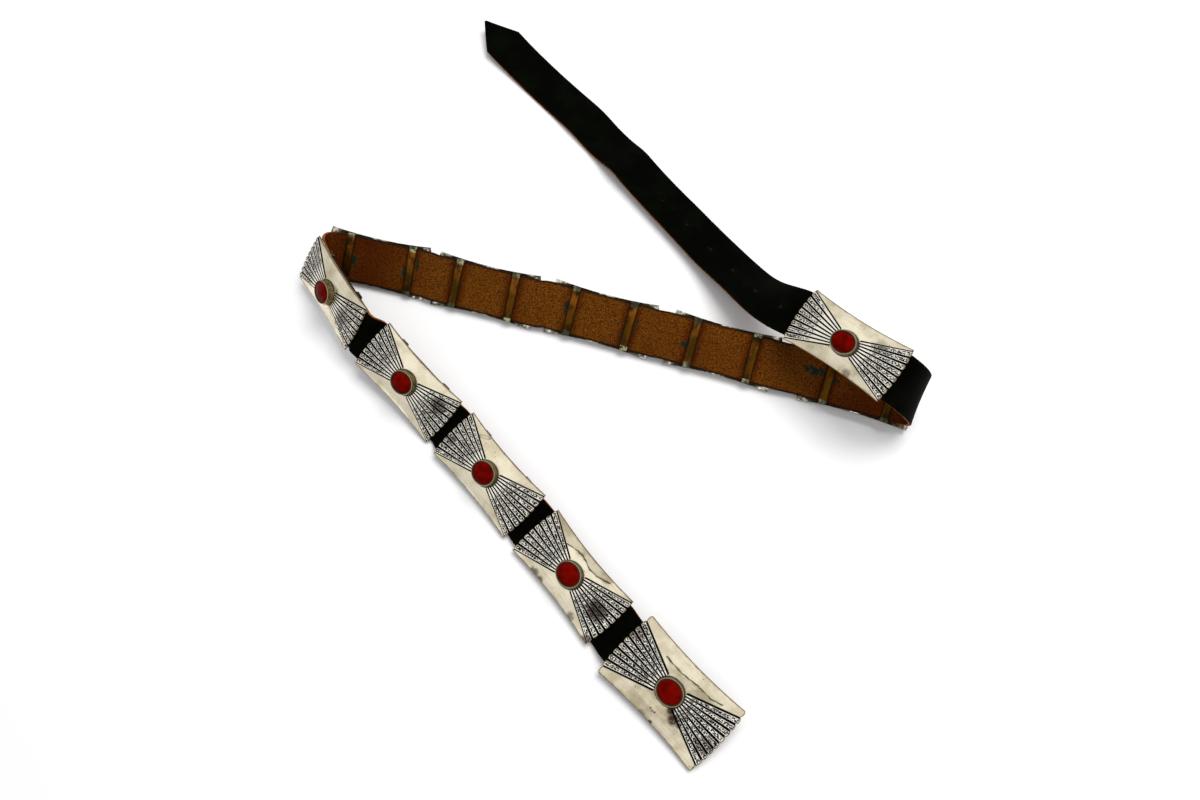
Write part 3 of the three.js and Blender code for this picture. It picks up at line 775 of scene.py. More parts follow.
def plate_lines(plate, sizes, broad):
    """Lines of a plate, from its low side to its high side"""
    rib_steps = len(RIB_STEPS) * 2
    ribs = [
        rib_line(plate, sizes, rib, step, broad)
        for rib in range(sizes.ribs)
        for step in range(rib_steps + (rib == sizes.ribs - 1))
    ]
    blends = [0.025, 0.06] + [0.1 + 0.045 * k for k in range(20)] + [0.985, 1.0]
    low = [side_line(plate, sizes, -1, blend) for blend in reversed(blends)]
    return low + ribs + [side_line(plate, sizes, 1, blend) for blend in blends]


def rib_line(plate, sizes, rib, step, broad):
    """Line on a rib, some steps from the groove before it. Its crest is halfway to the groove after it."""
    last = len(RIB_STEPS) * 2
    half = min(step, last - step)
    width_out, width_in = 2 * plate.fan_end / sizes.ribs, 2 * sizes.fan_half / sizes.ribs
    if half < len(RIB_STEPS):
        shape = RIB_STEPS[half]
    else:
        shape = RIB_STEPS[-1]._replace(outer=width_out / 2, inner=width_in / 2, height=0.95, mark=0.35)
    outer, inner = shape.outer, shape.inner
    if half < GROOVE_STEPS:
        outer, inner = outer * broad, inner * (0.6 + 0.4 * broad)
    if step > last // 2:
        outer, inner = width_out - outer, width_in - inner
    place = outer / width_out
    low, high = (plate.border if rib == outermost else sizes.scallop for outermost in (0, sizes.ribs - 1))
    notch = (low + (high - low) * place) * (1 - math.sqrt(max(0, 1 - (2 * place - 1) ** 2)))
    end = fan_tip(plate, sizes, -1 + (rib + place) * 2 / sizes.ribs) - notch
    start_y = -sizes.fan_half + rib * width_in + inner
    end_y = -plate.fan_end + rib * width_out + outer

    def across(x, t):
        return start_y + (end_y - start_y) * t

    return Line(end, shape.height, shape.mark, shape.groove, shape.rim, 0, rib, 2 * place - 1, across)


def side_line(plate, sizes, sign, blend):
    """Line on a plain side, between the outermost groove (blend 0) and the edge (1)"""
    notch_end = fan_tip(plate, sizes, 1) - plate.border
    arc = math.sqrt(1 - (1 - min(blend / 0.4, 1)) ** 2)
    end = notch_end + (plate.length / 2 - notch_end) * arc - plate.tab / 4 * max(0, (blend - 0.6) / 0.4) ** 2
    dark = 1.0 if blend < 0.03 else 0.55 if blend < 0.07 else 0.0

    def across(x, t):
        groove = sizes.fan_half + (plate.fan_end - sizes.fan_half) * t
        return sign * (groove + (side_half(plate, sizes, x) - groove) * blend)

    return Line(end, 0, 0, dark, 0, blend, -1, sign * blend, across)


def stations():
    """Steps along a plate: the end that they belong to (0 between the fans), and how far out they are as
    shares of a fan and of the stretch between the fans"""
    outward = np.append(np.arange(64) / 64, [0.993, 1.0])
    middle = np.arange(-7, 8) / 8
    end_sign = np.repeat([-1, 0, 1], [len(outward), len(middle), len(outward)])
    fan = np.concatenate([outward[::-1], np.zeros(len(middle)), outward])
    share = np.pad(middle, len(outward))
    return end_sign, fan, share


def hammer_noise(x, y, seed):
    """Soft uneven dents over a surface, between about -1 and 1"""
    rng = np.random.default_rng(seed)
    total = np.zeros_like(x)
    for _ in range(9):
        angle = rng.uniform(0, 2 * math.pi)
        length = HAMMER_SIZE * rng.uniform(0.6, 1.8)
        phase = rng.uniform(0, 2 * math.pi)
        total += np.sin((x * math.cos(angle) + y * math.sin(angle)) / length * 2 * math.pi + phase)
    return total / 4.5


def crease_marks(index, plate, x, y):
    """Line, dull zone and rise of the folds across a plate's plain sides; the finish paints shade along the
    line and over the dull zone, and scratches add to the line
    """
    along, across = 2 * x / plate.length, 2 * y / plate.width
    line, dull, rise = np.zeros_like(x), np.zeros_like(x), np.zeros_like(x)
    for crease in CREASES:
        if crease.plate != index:
            continue
        low, high = crease.along[0], crease.along[-1]
        zone = across * crease.side > 0
        reach = smooth_share(along, low, low + 0.05) * (1 - smooth_share(along, high - 0.05, high)) * zone
        if crease.dull < 0:
            zone = zone * smooth_share(along, low, low + 0.3) * (1 - smooth_share(along, high - 0.25, high))
        away = (across * crease.side - np.interp(along, crease.along, crease.across)) * plate.width / 2
        away = away + wave(x, SEEDS.fold + index, 4, 12, 2.5) * 0.3
        dark = crease.dark * (0.75 + 0.35 * wave(x, SEEDS.fold_dark + index, 3, 20, 6))
        # The fold's line, a soft band beside it and its dull zone are painted shade; the line also sinks the
        # surface
        line = np.maximum(line, reach * np.minimum(dark * np.exp(-((away / 0.55) ** 2)), 1))
        line = np.maximum(line, reach * (away < 0) * 0.5 * dark * np.exp(-((away / 2.4) ** 2)))
        dull = np.maximum(dull, zone * smooth_share(away * crease.dull, -0.4, 0.4))
        rise = rise + reach * 0.4 * smooth_share(away, -0.5, 0.5) * (1 - smooth_share(away, 0.5, 5))
    for mark in SCRATCHES:
        if mark.plate == index:
            off_x, off_y = x - mark.along * plate.length / 2, y - mark.across * plate.width / 2
            long = off_x * math.cos(mark.turn) + off_y * math.sin(mark.turn)
            wide = off_y * math.cos(mark.turn) - off_x * math.sin(mark.turn)
            away = (np.hypot(long / mark.length, wide / mark.width) - 1) * mark.width
            line = np.maximum(line, 0.75 * np.exp(-((away / 0.4) ** 2)))
    return line, dull, rise


def patch_marks(marks, index, plate, x, y):
    """How strongly a plate is marked by some patches"""
    total = np.zeros_like(x)
    for mark in marks:
        if mark.plate == index:
            away = np.hypot(x - mark.along * plate.length / 2, y - mark.across * plate.width / 2)
            fade = 1 - smooth_share(away, mark.radius * 0.4, mark.radius)
            total = np.maximum(total, mark.strength * fade)
    return total


def under_side(top, numbers, faces, plate, sizes):
    """Points of a plate's under side. Its faces, from the rim to the middle of the dome, join the others."""
    rim = np.concatenate([numbers[0, :-1], numbers[:-1, -1], numbers[-1, :0:-1], numbers[:0:-1, 0]])
    count = len(rim)
    border = top[rim][:, :2]
    away = np.linalg.norm(border, axis=1)[:, None]
    under, bands = [], [rim]
    for step in UNDER_STEPS:
        xy = border * (1 - step.inset / away)
        level = sizes.plate_base + step.lift + step.domed * dome_at(plate, sizes, xy[:, 0], xy[:, 1])
        bands.append(len(top) + len(under) * count + np.arange(count))
        under.append(np.column_stack([xy, level]))
    for upper, lower in zip(bands, bands[1:]):
        for k in range(count):
            faces.append((upper[k], lower[k], lower[k + 1 - count], upper[k + 1 - count]))
    middle = len(top) + len(under) * count
    for k in range(count):
        faces.append((bands[-1][k], middle, bands[-1][k + 1 - count]))
    return np.concatenate([*under, [[0, 0, sizes.plate_top - SHEET]]])


def build_plate(spot, finishes):
    plate, sizes, index = spot.lie.plate, spot.sizes, spot.index
    look = FAN_LOOKS[index]
    *columns, courses = zip(*plate_lines(plate, sizes, look.broad))
    columns = [np.array(column, float)[:, None] for column in columns]
    end, height, mark, groove, rim, blend, rib, place = columns
    end_sign, fan, share = stations()
    x = share * sizes.fan_start + end_sign * (sizes.fan_start + (end - sizes.fan_start) * fan)
    y = np.array([course(row, fan) for course, row in zip(courses, x)])
    rng = np.random.default_rng(SEEDS.stamp + index)
    is_side = (blend > 0) * np.ones_like(x)
    panel = np.sin(blend * math.pi) ** 0.8
    fade = np.minimum(1, 0.35 + 0.9 * fan) * (fan > 0)
    to_end = end - np.abs(x)
    start = np.where(end_sign > 0, smooth_share(fan, *look.high), smooth_share(fan, *look.low))
    stamped = mark * start * smooth_share(to_end, 0.3, 0.8)
    # Punched dents stand in a row along each half of a rib
    run = np.abs(x) - sizes.fan_start
    beat = (run / BEAT + rib * 0.37 + (place > 0) * 0.5 + rng.uniform(-0.1, 0.1, x.shape)) % 1.0
    dent = stamped * (0.12 + 0.88 * (beat < 0.58)) * rng.uniform(0.6, 1, x.shape)
    grit = stamped * rng.uniform(-1, 1, x.shape)
    hammered = hammer_noise(x, y, SEEDS.hammer + index) * panel * HAMMER_DEPTH
    dish = DISH_DEPTH * panel * np.clip(1 - (2 * x / plate.length) ** 2, 0, 1)
    line, dull, rise = (values * is_side for values in crease_marks(index, plate, x, y))
    z = sizes.plate_skin + dome_at(plate, sizes, x, y) + sizes.relief * height * fade
    z = z - DENT_DEPTH * dent * fade + GRIT_DEPTH * grit + hammered - dish + rise - FOLD_DEPTH * line
    z[:, [0, -1]] -= END_DROP
    z[[0, -1], :] -= SIDE_DROP
    top = np.stack([x, y, z], 2).reshape(-1, 3)
    numbers = np.arange(x.size).reshape(x.shape)
    corners = (numbers[:-1, :-1], numbers[:-1, 1:], numbers[1:, 1:], numbers[1:, :-1])
    faces = np.stack(corners, -1).reshape(-1, 4).tolist()
    points = np.concatenate([top, under_side(top, numbers, faces, plate, sizes)])
    to_edge = np.minimum(to_end, side_half(plate, sizes, x) - np.abs(y))
    oval = np.hypot(x / (sizes.stone_length / 2 + 1.5), y / (sizes.stone_width / 2 + 1.5))
    dull = np.maximum(dull, is_side * patch_marks(DULLS, index, plate, x, y))
    dull = np.maximum(dull, 0.3 * smooth_share(oval, 1.2, 2.6) * is_side)
    stamp = (
        groove * smooth_share(fan, 0, 0.03), stamped, dent + 0.25 * np.maximum(-grit, 0),
        1 - smooth_share(to_edge, 0.15, 1.3),
    )
    zone = (1 - smooth_share(oval, 1.0, 1.07), is_side, rim * (fan > 0), np.zeros_like(x))
    masks = {
        # On the under side the edge mask stands at 0.6 and the last zone mask at 1, for tarnish and painted
        # shade there
        "Stamp": mask_of(len(points), (0, 0, 0, 0.6), *stamp),
        "Zone": mask_of(len(points), (0, 0, 0, 1), *zone),
        "Lustre": mask_of(len(points), (0, 0, 0, 0), line, dull, patch_marks(STAINS, index, plate, x, y)),
    }
    plate_piece("plate", spot, points, faces, finishes, masks=masks, sharp=70)


def build_bezel(spot, finishes):
    sizes = spot.sizes
    angles = round_angles(TURNS)
    base = sizes.plate_skin + dome_at(spot.lie.plate, sizes, *sizes.pocket(angles, BEZEL_FOOT))
    wobble = wave(angles * 6, SEEDS.bezel + spot.index, 3, 12, 4) * 0.06
    rings = []
    for step in BEZEL_STEPS:
        z = base + (sizes.bezel_top - base) * step.height - step.drop + wobble * min(1, step.height * 3)
        rings.append(np.stack([*sizes.pocket(angles, step.wall), z], 1))
    points = np.concatenate(rings)
    faces = quads_between(len(rings), TURNS)
    last = (len(rings) - 1) * TURNS
    faces += [(last + k, last + (k + 1) % TURNS, (k + 1) % TURNS, k) for k in range(TURNS)]
    level = np.repeat([step.height for step in BEZEL_STEPS], TURNS)
    wall = np.repeat([min((step.wall + 0.75) / 1.3, 1) for step in BEZEL_STEPS], TURNS)
    uv = np.stack([np.tile(angles * 8, len(rings)), points[:, 2]], 1)
    masks = {"Cup": mask_of(len(points), (0, 0, 0, 0), level, wall)}
    plate_piece("bezel", spot, points, faces, finishes, uv=uv, masks=masks)


def build_coral(spot, finishes):
    sizes = spot.sizes
    angles = round_angles(TURNS)
    rings = [(0.97, 0.0), (1.0, 0.03), (1.0, 0.58), (0.985, 0.63)]
    for radius in (0.95, 0.9, 0.84, 0.76, 0.67, 0.56, 0.44, 0.31, 0.16):
        rings.append((radius, 0.62 + 0.38 * (1 - radius**2) ** 0.62))
    points = []
    for radius, share in rings:
        x = radius * sizes.stone_length / 2 * np.cos(angles)
        y = radius * sizes.stone_width / 2 * np.sin(angles)
        bump = wave(angles * 5 + radius * 9, SEEDS.coral + spot.index, 3, 12, 5) * 0.05 * (share > 0.6)
        points.append(np.stack([x, y, sizes.stone_seat + share * sizes.stone_height + bump], 1))
    points = np.concatenate([*points, [[0, 0, sizes.stone_seat + sizes.stone_height]]])
    faces = quads_between(len(rings), TURNS)
    last = (len(rings) - 1) * TURNS
    faces += [(last + k, last + (k + 1) % TURNS, len(points) - 1) for k in range(TURNS)]
    faces.append(tuple(range(TURNS - 1, -1, -1)))
    plate_piece("coral", spot, points, faces, finishes)


def rounded_path(corners, radius, steps=6):
    """Points of a path whose corners are rounded"""
    corners = [np.array(corner, float) for corner in corners]
    path = [corners[0]]
    for before, corner, after in zip(corners, corners[1:], corners[2:]):
        reach = min(radius, np.linalg.norm(before - corner) / 2, np.linalg.norm(after - corner) / 2)
        start, end = corner + unit(before - corner) * reach, corner + unit(after - corner) * reach
        for t in np.arange(steps + 1) / steps:
            path.append(start * (1 - t) ** 2 + corner * 2 * t * (1 - t) + end * t**2)
    path.append(corners[-1])
    return np.array(path)


def denser(path, step):
    """The same path with places at most a step apart"""
    run = np.concatenate([[0], np.cumsum(np.linalg.norm(np.diff(path, axis=0), axis=1))])
    extra = []
    for low, high in zip(run, run[1:]):
        count = max(1, math.ceil((high - low) / step))
        extra += list(low + (high - low) * np.arange(count) / count)
    extra.append(run[-1])
    return np.stack([np.interp(extra, run, path[:, k]) for k in range(path.shape[1])], 1)


# How far each point of a strip's section lies on its bright outer face (0) or out at its dark rims (1)
STRIP_RIMS = [0.8, 0.15, 0, 0.15, 0.8, 1, 1, 1, 1, 1, 1, 1]


def strip_rings(path, half_widths, thick, offset=0.0):
    """Rings of a flat strip whose middle follows a path in a plane (second and third number).
    The strip is as wide as given along the first number and stands offset to the path's right."""
    tangent = unit(np.gradient(path, axis=0))
    normal = np.stack([tangent[:, 1], -tangent[:, 0]], 1)
    bevel = min(0.25, thick * 0.4)
    low, high = offset - thick / 2, offset + thick / 2
    rings = []
    for centre, side, half in zip(path, normal, half_widths):
        section = (
            (-half + bevel, high), (-half / 2, high), (0, high), (half / 2, high), (half - bevel, high),
            (half, high - bevel), (half, low + bevel), (half - bevel, low), (0, low), (-half + bevel, low),
            (-half, low + bevel), (-half, high - bevel),
        )
        rings.append([(x, *(centre + side * level)) for x, level in section])
    return np.array(rings)


def joined(parts):
    """Points, faces and finish numbers of several closed strips together"""
    points, faces, finish_of = [], [], []
    count = 0
    for rings, finish in parts:
        number, sides = rings.shape[:2]
        strip = capped(number, sides)
        faces += [tuple(k + count for k in face) for face in strip]
        finish_of += [finish] * len(strip)
        points.append(rings.reshape(-1, 3))
        count += number * sides
    return np.concatenate(points), faces, finish_of


def loop_parts(sizes, x, seed):
    """Copper strip behind the strap, with a solder tab at each of its ends"""
    middle = sizes.loop_outer - sizes.loop_thick / 2 - 0.27
    floor = sizes.loop_floor + sizes.loop_thick / 2
    top = sizes.plate_base + 0.9 * sizes.edge
    corners = [(-middle, top), (-middle, floor), (middle, floor), (middle, top)]
    path = denser(rounded_path(corners, LOOP_BEND), 0.9)
    half = sizes.loop_width / 2 + wave(path[:, 0] * 2, seed, 4, 40, 9) * 0.28
    bow = np.exp(-((path[:, 0] / 9) ** 2)) * 0.18 + wave(path[:, 0] * 2, seed + 1, 3, 30, 9) * 0.06
    path[:, 1] -= np.abs(bow) * (path[:, 1] < floor + 0.01)
    parts = [(strip_rings(path, half, sizes.loop_thick), 0)]
    rng = np.random.default_rng(seed)
    for side in (-1, 1):
        reach = middle - rng.uniform(2.0, 3.4)
        corners = [(side * reach, floor), (side * middle, floor), (side * middle, floor + 0.9)]
        tab = denser(rounded_path(corners[::side], LOOP_BEND), 0.5)
        tab_half = sizes.loop_width / 2 - 0.5 + wave(tab[:, 0] * 5, seed + 7 + side, 3, 20, 5) * 0.4
        parts.append((strip_rings(tab, tab_half, 0.24, sizes.loop_thick / 2 + 0.04), 1))
    for rings, _ in parts:
        skew = rng.uniform(-0.25, 0.25)
        rings[..., 0] += x + skew * rings[..., 1] / sizes.loop_outer
    return parts


def build_loops(spot, finishes):
    sizes = spot.sizes
    parts = []
    for side, share in enumerate((-1, spot.lie.row.far)):
        seed = SEEDS.loops + 10 * spot.index + 5 * side
        parts += loop_parts(sizes, share * sizes.loop_spacing / 2, seed)
    points, faces, finish_of = joined(parts)
    outward = smooth_share(np.abs(points[:, 1]) / sizes.loop_outer, 0.35, 0.85)
    rims = np.tile(STRIP_RIMS, len(points) // len(STRIP_RIMS))
    # The second mask is the side of the strip that carries a painted highlight
    mask = mask_of(len(points), (0, 0, 0, 0), outward, smooth_share(-points[:, 1], -4, 14), rims)
    plate_piece("loops", spot, points, faces, finishes, finish_of, masks={"Strip": mask}, sharp=50)


def build_hook(spot, finishes):
    sizes = spot.sizes
    root = -sizes.hold_half - sizes.strap_thick - sizes.hook_thick / 2
    floor = sizes.loop_floor + sizes.hook_thick / 2
    top = sizes.plate_skin + sizes.dome / 4 - 0.2
    tip = root - sizes.hook_reach + sizes.hook_thick * 1.5
    path = denser(rounded_path([(root, top), (root, floor), (tip, floor)], 1.6), 0.8)
    run = np.arange(len(path)) / (len(path) - 1)
    half = sizes.hook_width / 2 * (1 - 0.45 * smooth_share(run, 0.75, 1.0))
    rings = strip_rings(path, half, sizes.hook_thick)[:, ::-1, [1, 0, 2]]
    points, faces, finish_of = joined([(rings, 0)])
    masks = {"Cup": mask_of(len(points), (0.3, 1, 0, 0))}
    plate_piece("hook", spot, points, faces, finishes, finish_of, masks=masks)


class Wire:
    """A value inside a material. Python's own operators on it add the Math nodes."""

    def __init__(self, shade, socket):
        self.shade = shade
        self.socket = socket

    def reckon(self, operation, *values):
        return self.shade.add("ShaderNodeMath", {"operation": operation}, dict(enumerate(values)))

    def __add__(self, other):
        return self.reckon("ADD", self, other)

    def __radd__(self, other):
        return self.reckon("ADD", other, self)

    def __sub__(self, other):
        return self.reckon("SUBTRACT", self, other)

    def __rsub__(self, other):
        return self.reckon("SUBTRACT", other, self)

    def __mul__(self, other):
        return self.reckon("MULTIPLY", self, other)

    def __rmul__(self, other):
        return self.reckon("MULTIPLY", other, self)

    def high(self, other):
        """The higher of two values"""
        return self.reckon("MAXIMUM", self, other)


class Shade:
    """A node tree, emptied but for its output, and ways to add to it"""

    def __init__(self, tree, output):
        self.tree = tree
        self.tree.nodes.clear()
        self.output = self.tree.nodes.new(output)

    def add(self, kind, settings, values, output=0):
        """Node of a kind, with its settings set first and then its sockets' values or links"""
        node = self.tree.nodes.new(kind)
        for name, setting in settings.items():
            setattr(node, name, setting)
        for name, value in values.items():
            socket = node.inputs[name]
            if isinstance(value, Wire):
                self.tree.links.new(value.socket, socket)
            elif socket.type == "RGBA":
                socket.default_value = (*value[:3], 1.0)
            else:
                socket.default_value = value
        return Wire(self, node.outputs[output])

    def show(self, shader):
        self.tree.links.new(shader.socket, self.output.inputs["Surface"])

    def ease(self, value, low, high):
        """Smooth step of a value between two others, down where the first is the higher"""
        settings = {"interpolation_type": "SMOOTHSTEP"}
        return self.add("ShaderNodeMapRange", settings, {"Value": value, "From Min": low, "From Max": high})

    def mix(self, share, first, second):
        """The first colour, with a share of the second over it"""
        settings = {"data_type": "RGBA", "blend_type": "MIX", "clamp_factor": True}
        return self.add("ShaderNodeMix", settings, {0: share, 6: first, 7: second}, 2)


SHADER_SOCKETS = {
    "metal": "Metallic", "rough": "Roughness", "shine": "Specular IOR Level", "tint": "Specular Tint",
    "normal": "Normal",
}


class Finish(Shade):
    """A procedural material"""

    def __init__(self, name):
        self.material = bpy.data.materials.new(name)
        self.material.use_nodes = True
        self.colour = None
        super().__init__(self.material.node_tree, "ShaderNodeOutputMaterial")

    def cover(self, share, colour):
        """Lays a share of another colour over the colour so far"""
        self.colour = self.mix(share, self.colour, colour)

    def mask(self, name, channel):
        """One of the four masks of a piece's points"""
        settings = {"attribute_name": name}
        if channel == "Alpha":
            return self.add("ShaderNodeAttribute", settings, {}, channel)
        masks = self.add("ShaderNodeAttribute", settings, {}, "Color")
        return self.add("ShaderNodeSeparateColor", {}, {"Color": masks}, channel)

    def masks(self, name, *channels):
        return [self.mask(name, channel) for channel in channels]

    def place(self):
        return self.add("ShaderNodeTexCoord", {}, {}, "Object")

    def lay(self, along, across):
        """Place on the piece's own surface, stretched along and across"""
        values = {0: self.add("ShaderNodeUVMap", {"uv_map": "Lay"}, {}), 1: (along, across, 1.0)}
        return self.add("ShaderNodeVectorMath", {"operation": "MULTIPLY"}, values)

    def noise(self, vector, scale, detail, rough):
        values = {"Vector": vector, "Scale": scale, "Detail": detail, "Roughness": rough}
        return self.add("ShaderNodeTexNoise", {}, values)

    def cells(self, vector, scale):
        values = {"Vector": vector, "Scale": scale}
        return self.add("ShaderNodeTexVoronoi", {"feature": "F1"}, values, "Distance")

    def bump(self, height, depth, strength, under=None):
        values = {"Height": height, "Distance": depth, "Strength": strength}
        if under is not None:
            values["Normal"] = under
        return self.add("ShaderNodeBump", {}, values)

    def surface(self, **values):
        """Shows a surface with the colour so far and these values or links"""
        sockets = {SHADER_SOCKETS[name]: value for name, value in values.items()}
        self.show(self.add("ShaderNodeBsdfPrincipled", {}, {"Base Color": self.colour, **sockets}))


def silver_finish(finish, belt):
    """Cream silver plate: polished panels, blackened grooves, stamped ribs and brown tarnish at the edges;
    painted highlights on the rib crests, painted shade in the folds and under the plate
    """
    groove, stamped, dent, edge = finish.masks("Stamp", "Red", "Green", "Blue", "Alpha")
    foot, panel, rim, under = finish.masks("Zone", "Red", "Green", "Blue", "Alpha")
    crease, dull, stain = finish.masks("Lustre", "Red", "Green", "Blue")
    place = finish.place()
    brushed = finish.noise(finish.lay(60.0, 1100.0), 1.0, 3.0, 0.6)
    cloudy = finish.noise(place, 90.0, 4.0, 0.55)
    speckle = finish.noise(place, 1150.0, 1.0, 0.5)
    patch = finish.noise(place, 260.0, 5.0, 0.62)
    pits = finish.cells(place, 380.0)
    finish.colour = finish.mix(finish.ease(cloudy, 0.4, 0.7), belt.plate.silver, (0.76, 0.67, 0.47))
    dulled = finish.ease(cloudy * 1.5 + brushed * 0.4, 0.75, 1.15)
    # Dull patches, duller outer parts of the plain sides, and painted shade on one side of each fold
    finish.cover(dull * (0.45 + dulled * 0.5), (0.4, 0.345, 0.22))
    finish.cover(panel * finish.ease(brushed, 0.45, 0.7) * 0.3, (0.56, 0.47, 0.3))
    finish.cover((1 - panel) * 0.55, (1.0, 0.97, 0.88))
    # Painted highlight along each rib's crest, over polished silver
    finish.cover(rim * 0.8, (1.0, 0.98, 0.9))
    worn = finish.ease(dent * 0.5 + stamped * (speckle - 0.42) * 5.5, 0.28, 0.46)
    finish.cover(worn * 0.99, (0.007, 0.006, 0.006))
    finish.cover(stamped * (1 - worn) * 0.15, (0.5, 0.46, 0.36))
    stained = stain * finish.ease(patch + stain * 0.16, 0.38, 0.52) * 0.95
    finish.cover(stained, (0.035, 0.014, 0.006))
    brown = (edge * finish.ease(patch, 0.44, 0.6) * 0.8).high(finish.ease(edge, 0.58, 0.92) * 0.85)
    finish.cover(brown, belt.plate.tarnish)
    spot = panel * finish.ease(pits, 0.17, 0.1) * finish.ease(cloudy, 0.52, 0.58)
    dark = finish.ease(groove, 0.3, 0.6).high(foot).high(spot * 0.8)
    # Painted shade in the folds, in the oxide's colour; scratches share this mask
    dark = dark.high(finish.ease(crease, 0.3, 0.9) * 0.92)
    finish.cover(dark, belt.plate.oxide)
    # Painted shade under the plate, partly tarnish
    finish.cover(under * finish.ease(patch, 0.3, 0.6), (0.09, 0.08, 0.045))
    rough = 0.17 + cloudy * 0.1 + worn * 0.2 + dark * 0.25 + brown * 0.3 + stain * 0.2
    normal = finish.bump(brushed * 0.1 + cloudy * 0.3 - spot, 0.0002, 0.35)
    normal = finish.bump(speckle * stamped, 0.0004, 0.7, normal)
    finish.surface(metal=1.0 - dark * 0.9, rough=rough, shine=0.02, normal=normal)


def bezel_finish(finish, belt):
    """Aged brass-grey bezel with a bright rim, a dark foot and painted shade on its inside, next to the stone
    """
    level, wall = finish.masks("Cup", "Red", "Green")
    place = finish.place()
    cloudy = finish.noise(place, 260.0, 4.0, 0.6)
    fine = finish.noise(place, 1500.0, 2.0, 0.6)
    finish.colour = finish.mix(finish.ease(cloudy, 0.35, 0.65), belt.stone.brass, (0.1, 0.08, 0.04))
    finish.cover(finish.ease(level, 0.88, 0.95) * 0.8, (0.42, 0.36, 0.21))
    ring = finish.ease(level, 0.83, 0.88) * finish.ease(level, 0.955, 0.925)
    finish.cover(ring * 0.85, (0.01, 0.009, 0.006))
    # Dark foot, and painted shade on the lip's inner edge and inside, next to the stone
    dark = finish.ease(level, 0.16, 0.08).high(1 - finish.ease(wall, 0.55, 0.82))
    finish.cover(dark * 0.95, (0.006, 0.006, 0.006))
    rough = 0.33 + cloudy * 0.15 + dark * 0.2
    normal = finish.bump(cloudy + fine * 0.4, 0.00025, 0.5)
    finish.surface(metal=1.0 - dark * 0.8, rough=rough, shine=0.15, normal=normal)


def coral_finish(finish, belt):
    """Deep red coral with faint growth bands"""
    cloudy = finish.noise(finish.place(), 230.0, 3.0, 0.5)
    grain = finish.noise(finish.lay(300.0, 1400.0), 1.0, 3.0, 0.6)
    finish.colour = finish.mix(finish.ease(cloudy, 0.35, 0.68), belt.stone.coral, (0.055, 0.0006, 0.0002))
    finish.cover(finish.ease(grain, 0.55, 0.75) * 0.35, (0.15, 0.004, 0.001))
    normal = finish.bump(grain, 0.00006, 0.4)
    finish.surface(rough=0.3 + grain * 0.12, shine=0.04, tint=(1.0, 0.14, 0.06), normal=normal)


def copper_finish(finish, belt):
    """Aged copper strip, olive in places, with a painted highlight on one side"""
    end, painted_highlight, rims = finish.masks("Strip", "Red", "Green", "Blue")
    place = finish.place()
    cloudy = finish.noise(place, 110.0, 3.0, 0.5)
    fine = finish.noise(finish.lay(900.0, 120.0), 1.0, 3.0, 0.6)
    bloom = finish.noise(place, 330.0, 5.0, 0.7)
    finish.colour = finish.mix(finish.ease(cloudy, 0.45, 0.65) * 0.8, belt.loop.copper, (0.04, 0.022, 0.0025))
    # Painted highlight on one side of the strip
    finish.cover(painted_highlight * finish.ease(cloudy, 0.62, 0.4) * 0.7, (0.3, 0.1, 0.011))
    finish.cover(finish.ease(fine, 0.5, 0.75) * 0.4, (0.02, 0.014, 0.004))
    dark = (end * finish.ease(fine + cloudy, 0.85, 1.1) * 0.8).high(finish.ease(rims, 0.25, 0.85) * 0.92)
    finish.cover(dark, (0.007, 0.007, 0.003))
    green = finish.ease(bloom + end * 0.12, 0.7, 0.8)
    finish.cover(green, belt.loop.verdigris)
    rough = 0.4 + cloudy * 0.15 + green * 0.3
    normal = finish.bump(fine + cloudy, 0.0002, 0.4)
    finish.surface(metal=0.9 - green * 0.85, rough=rough, shine=0.05, normal=normal)


def solder_finish(finish, belt):
    """Grey-green solder tabs with dark pits"""
    place = finish.place()
    cloudy = finish.noise(place, 380.0, 5.0, 0.66)
    patch = finish.noise(place, 60.0, 2.0, 0.5)
    bloom = finish.noise(place, 700.0, 3.0, 0.6)
    finish.colour = finish.mix(finish.ease(cloudy, 0.42, 0.66), belt.loop.solder, (0.02, 0.022, 0.01))
    pale = finish.ease(patch, 0.5, 0.62) * finish.ease(cloudy, 0.6, 0.4)
    finish.cover(pale, (0.42, 0.4, 0.24))
    finish.cover(finish.ease(patch, 0.5, 0.4) * 0.6, (0.02, 0.022, 0.01))
    green = finish.ease(bloom, 0.6, 0.7)
    finish.cover(green * 0.7, belt.loop.verdigris)
    normal = finish.bump(cloudy + bloom * 0.5, 0.0004, 0.7)
    rough = 0.45 + cloudy * 0.2
    finish.surface(metal=0.8 - green * 0.6, rough=rough, shine=0.15, normal=normal)


def grain_finish(finish, belt):
    """Black grain face: fine pores and a slight sheen"""
    rub, hole = finish.masks("Wear", "Alpha", "Green")
    place = finish.place()
    pores = finish.cells(place, 1300.0)
    soft = finish.noise(place, 60.0, 4.0, 0.55)
    fine = finish.noise(place, 900.0, 3.0, 0.6)
    finish.colour = finish.mix(finish.ease(soft, 0.4, 0.7), belt.strap.grain, (0.0013, 0.0016, 0.0007))
    brown = (rub * 0.25 + hole * 0.3) * finish.ease(fine, 0.52, 0.72)
    finish.cover(brown, (0.05, 0.012, 0.002))
    normal = finish.bump(pores * 0.6 + fine * 0.5, 0.00012, 0.3)
    finish.surface(rough=0.5 + soft * 0.14, shine=0.012, tint=(0.55, 0.8, 0.4), normal=normal)


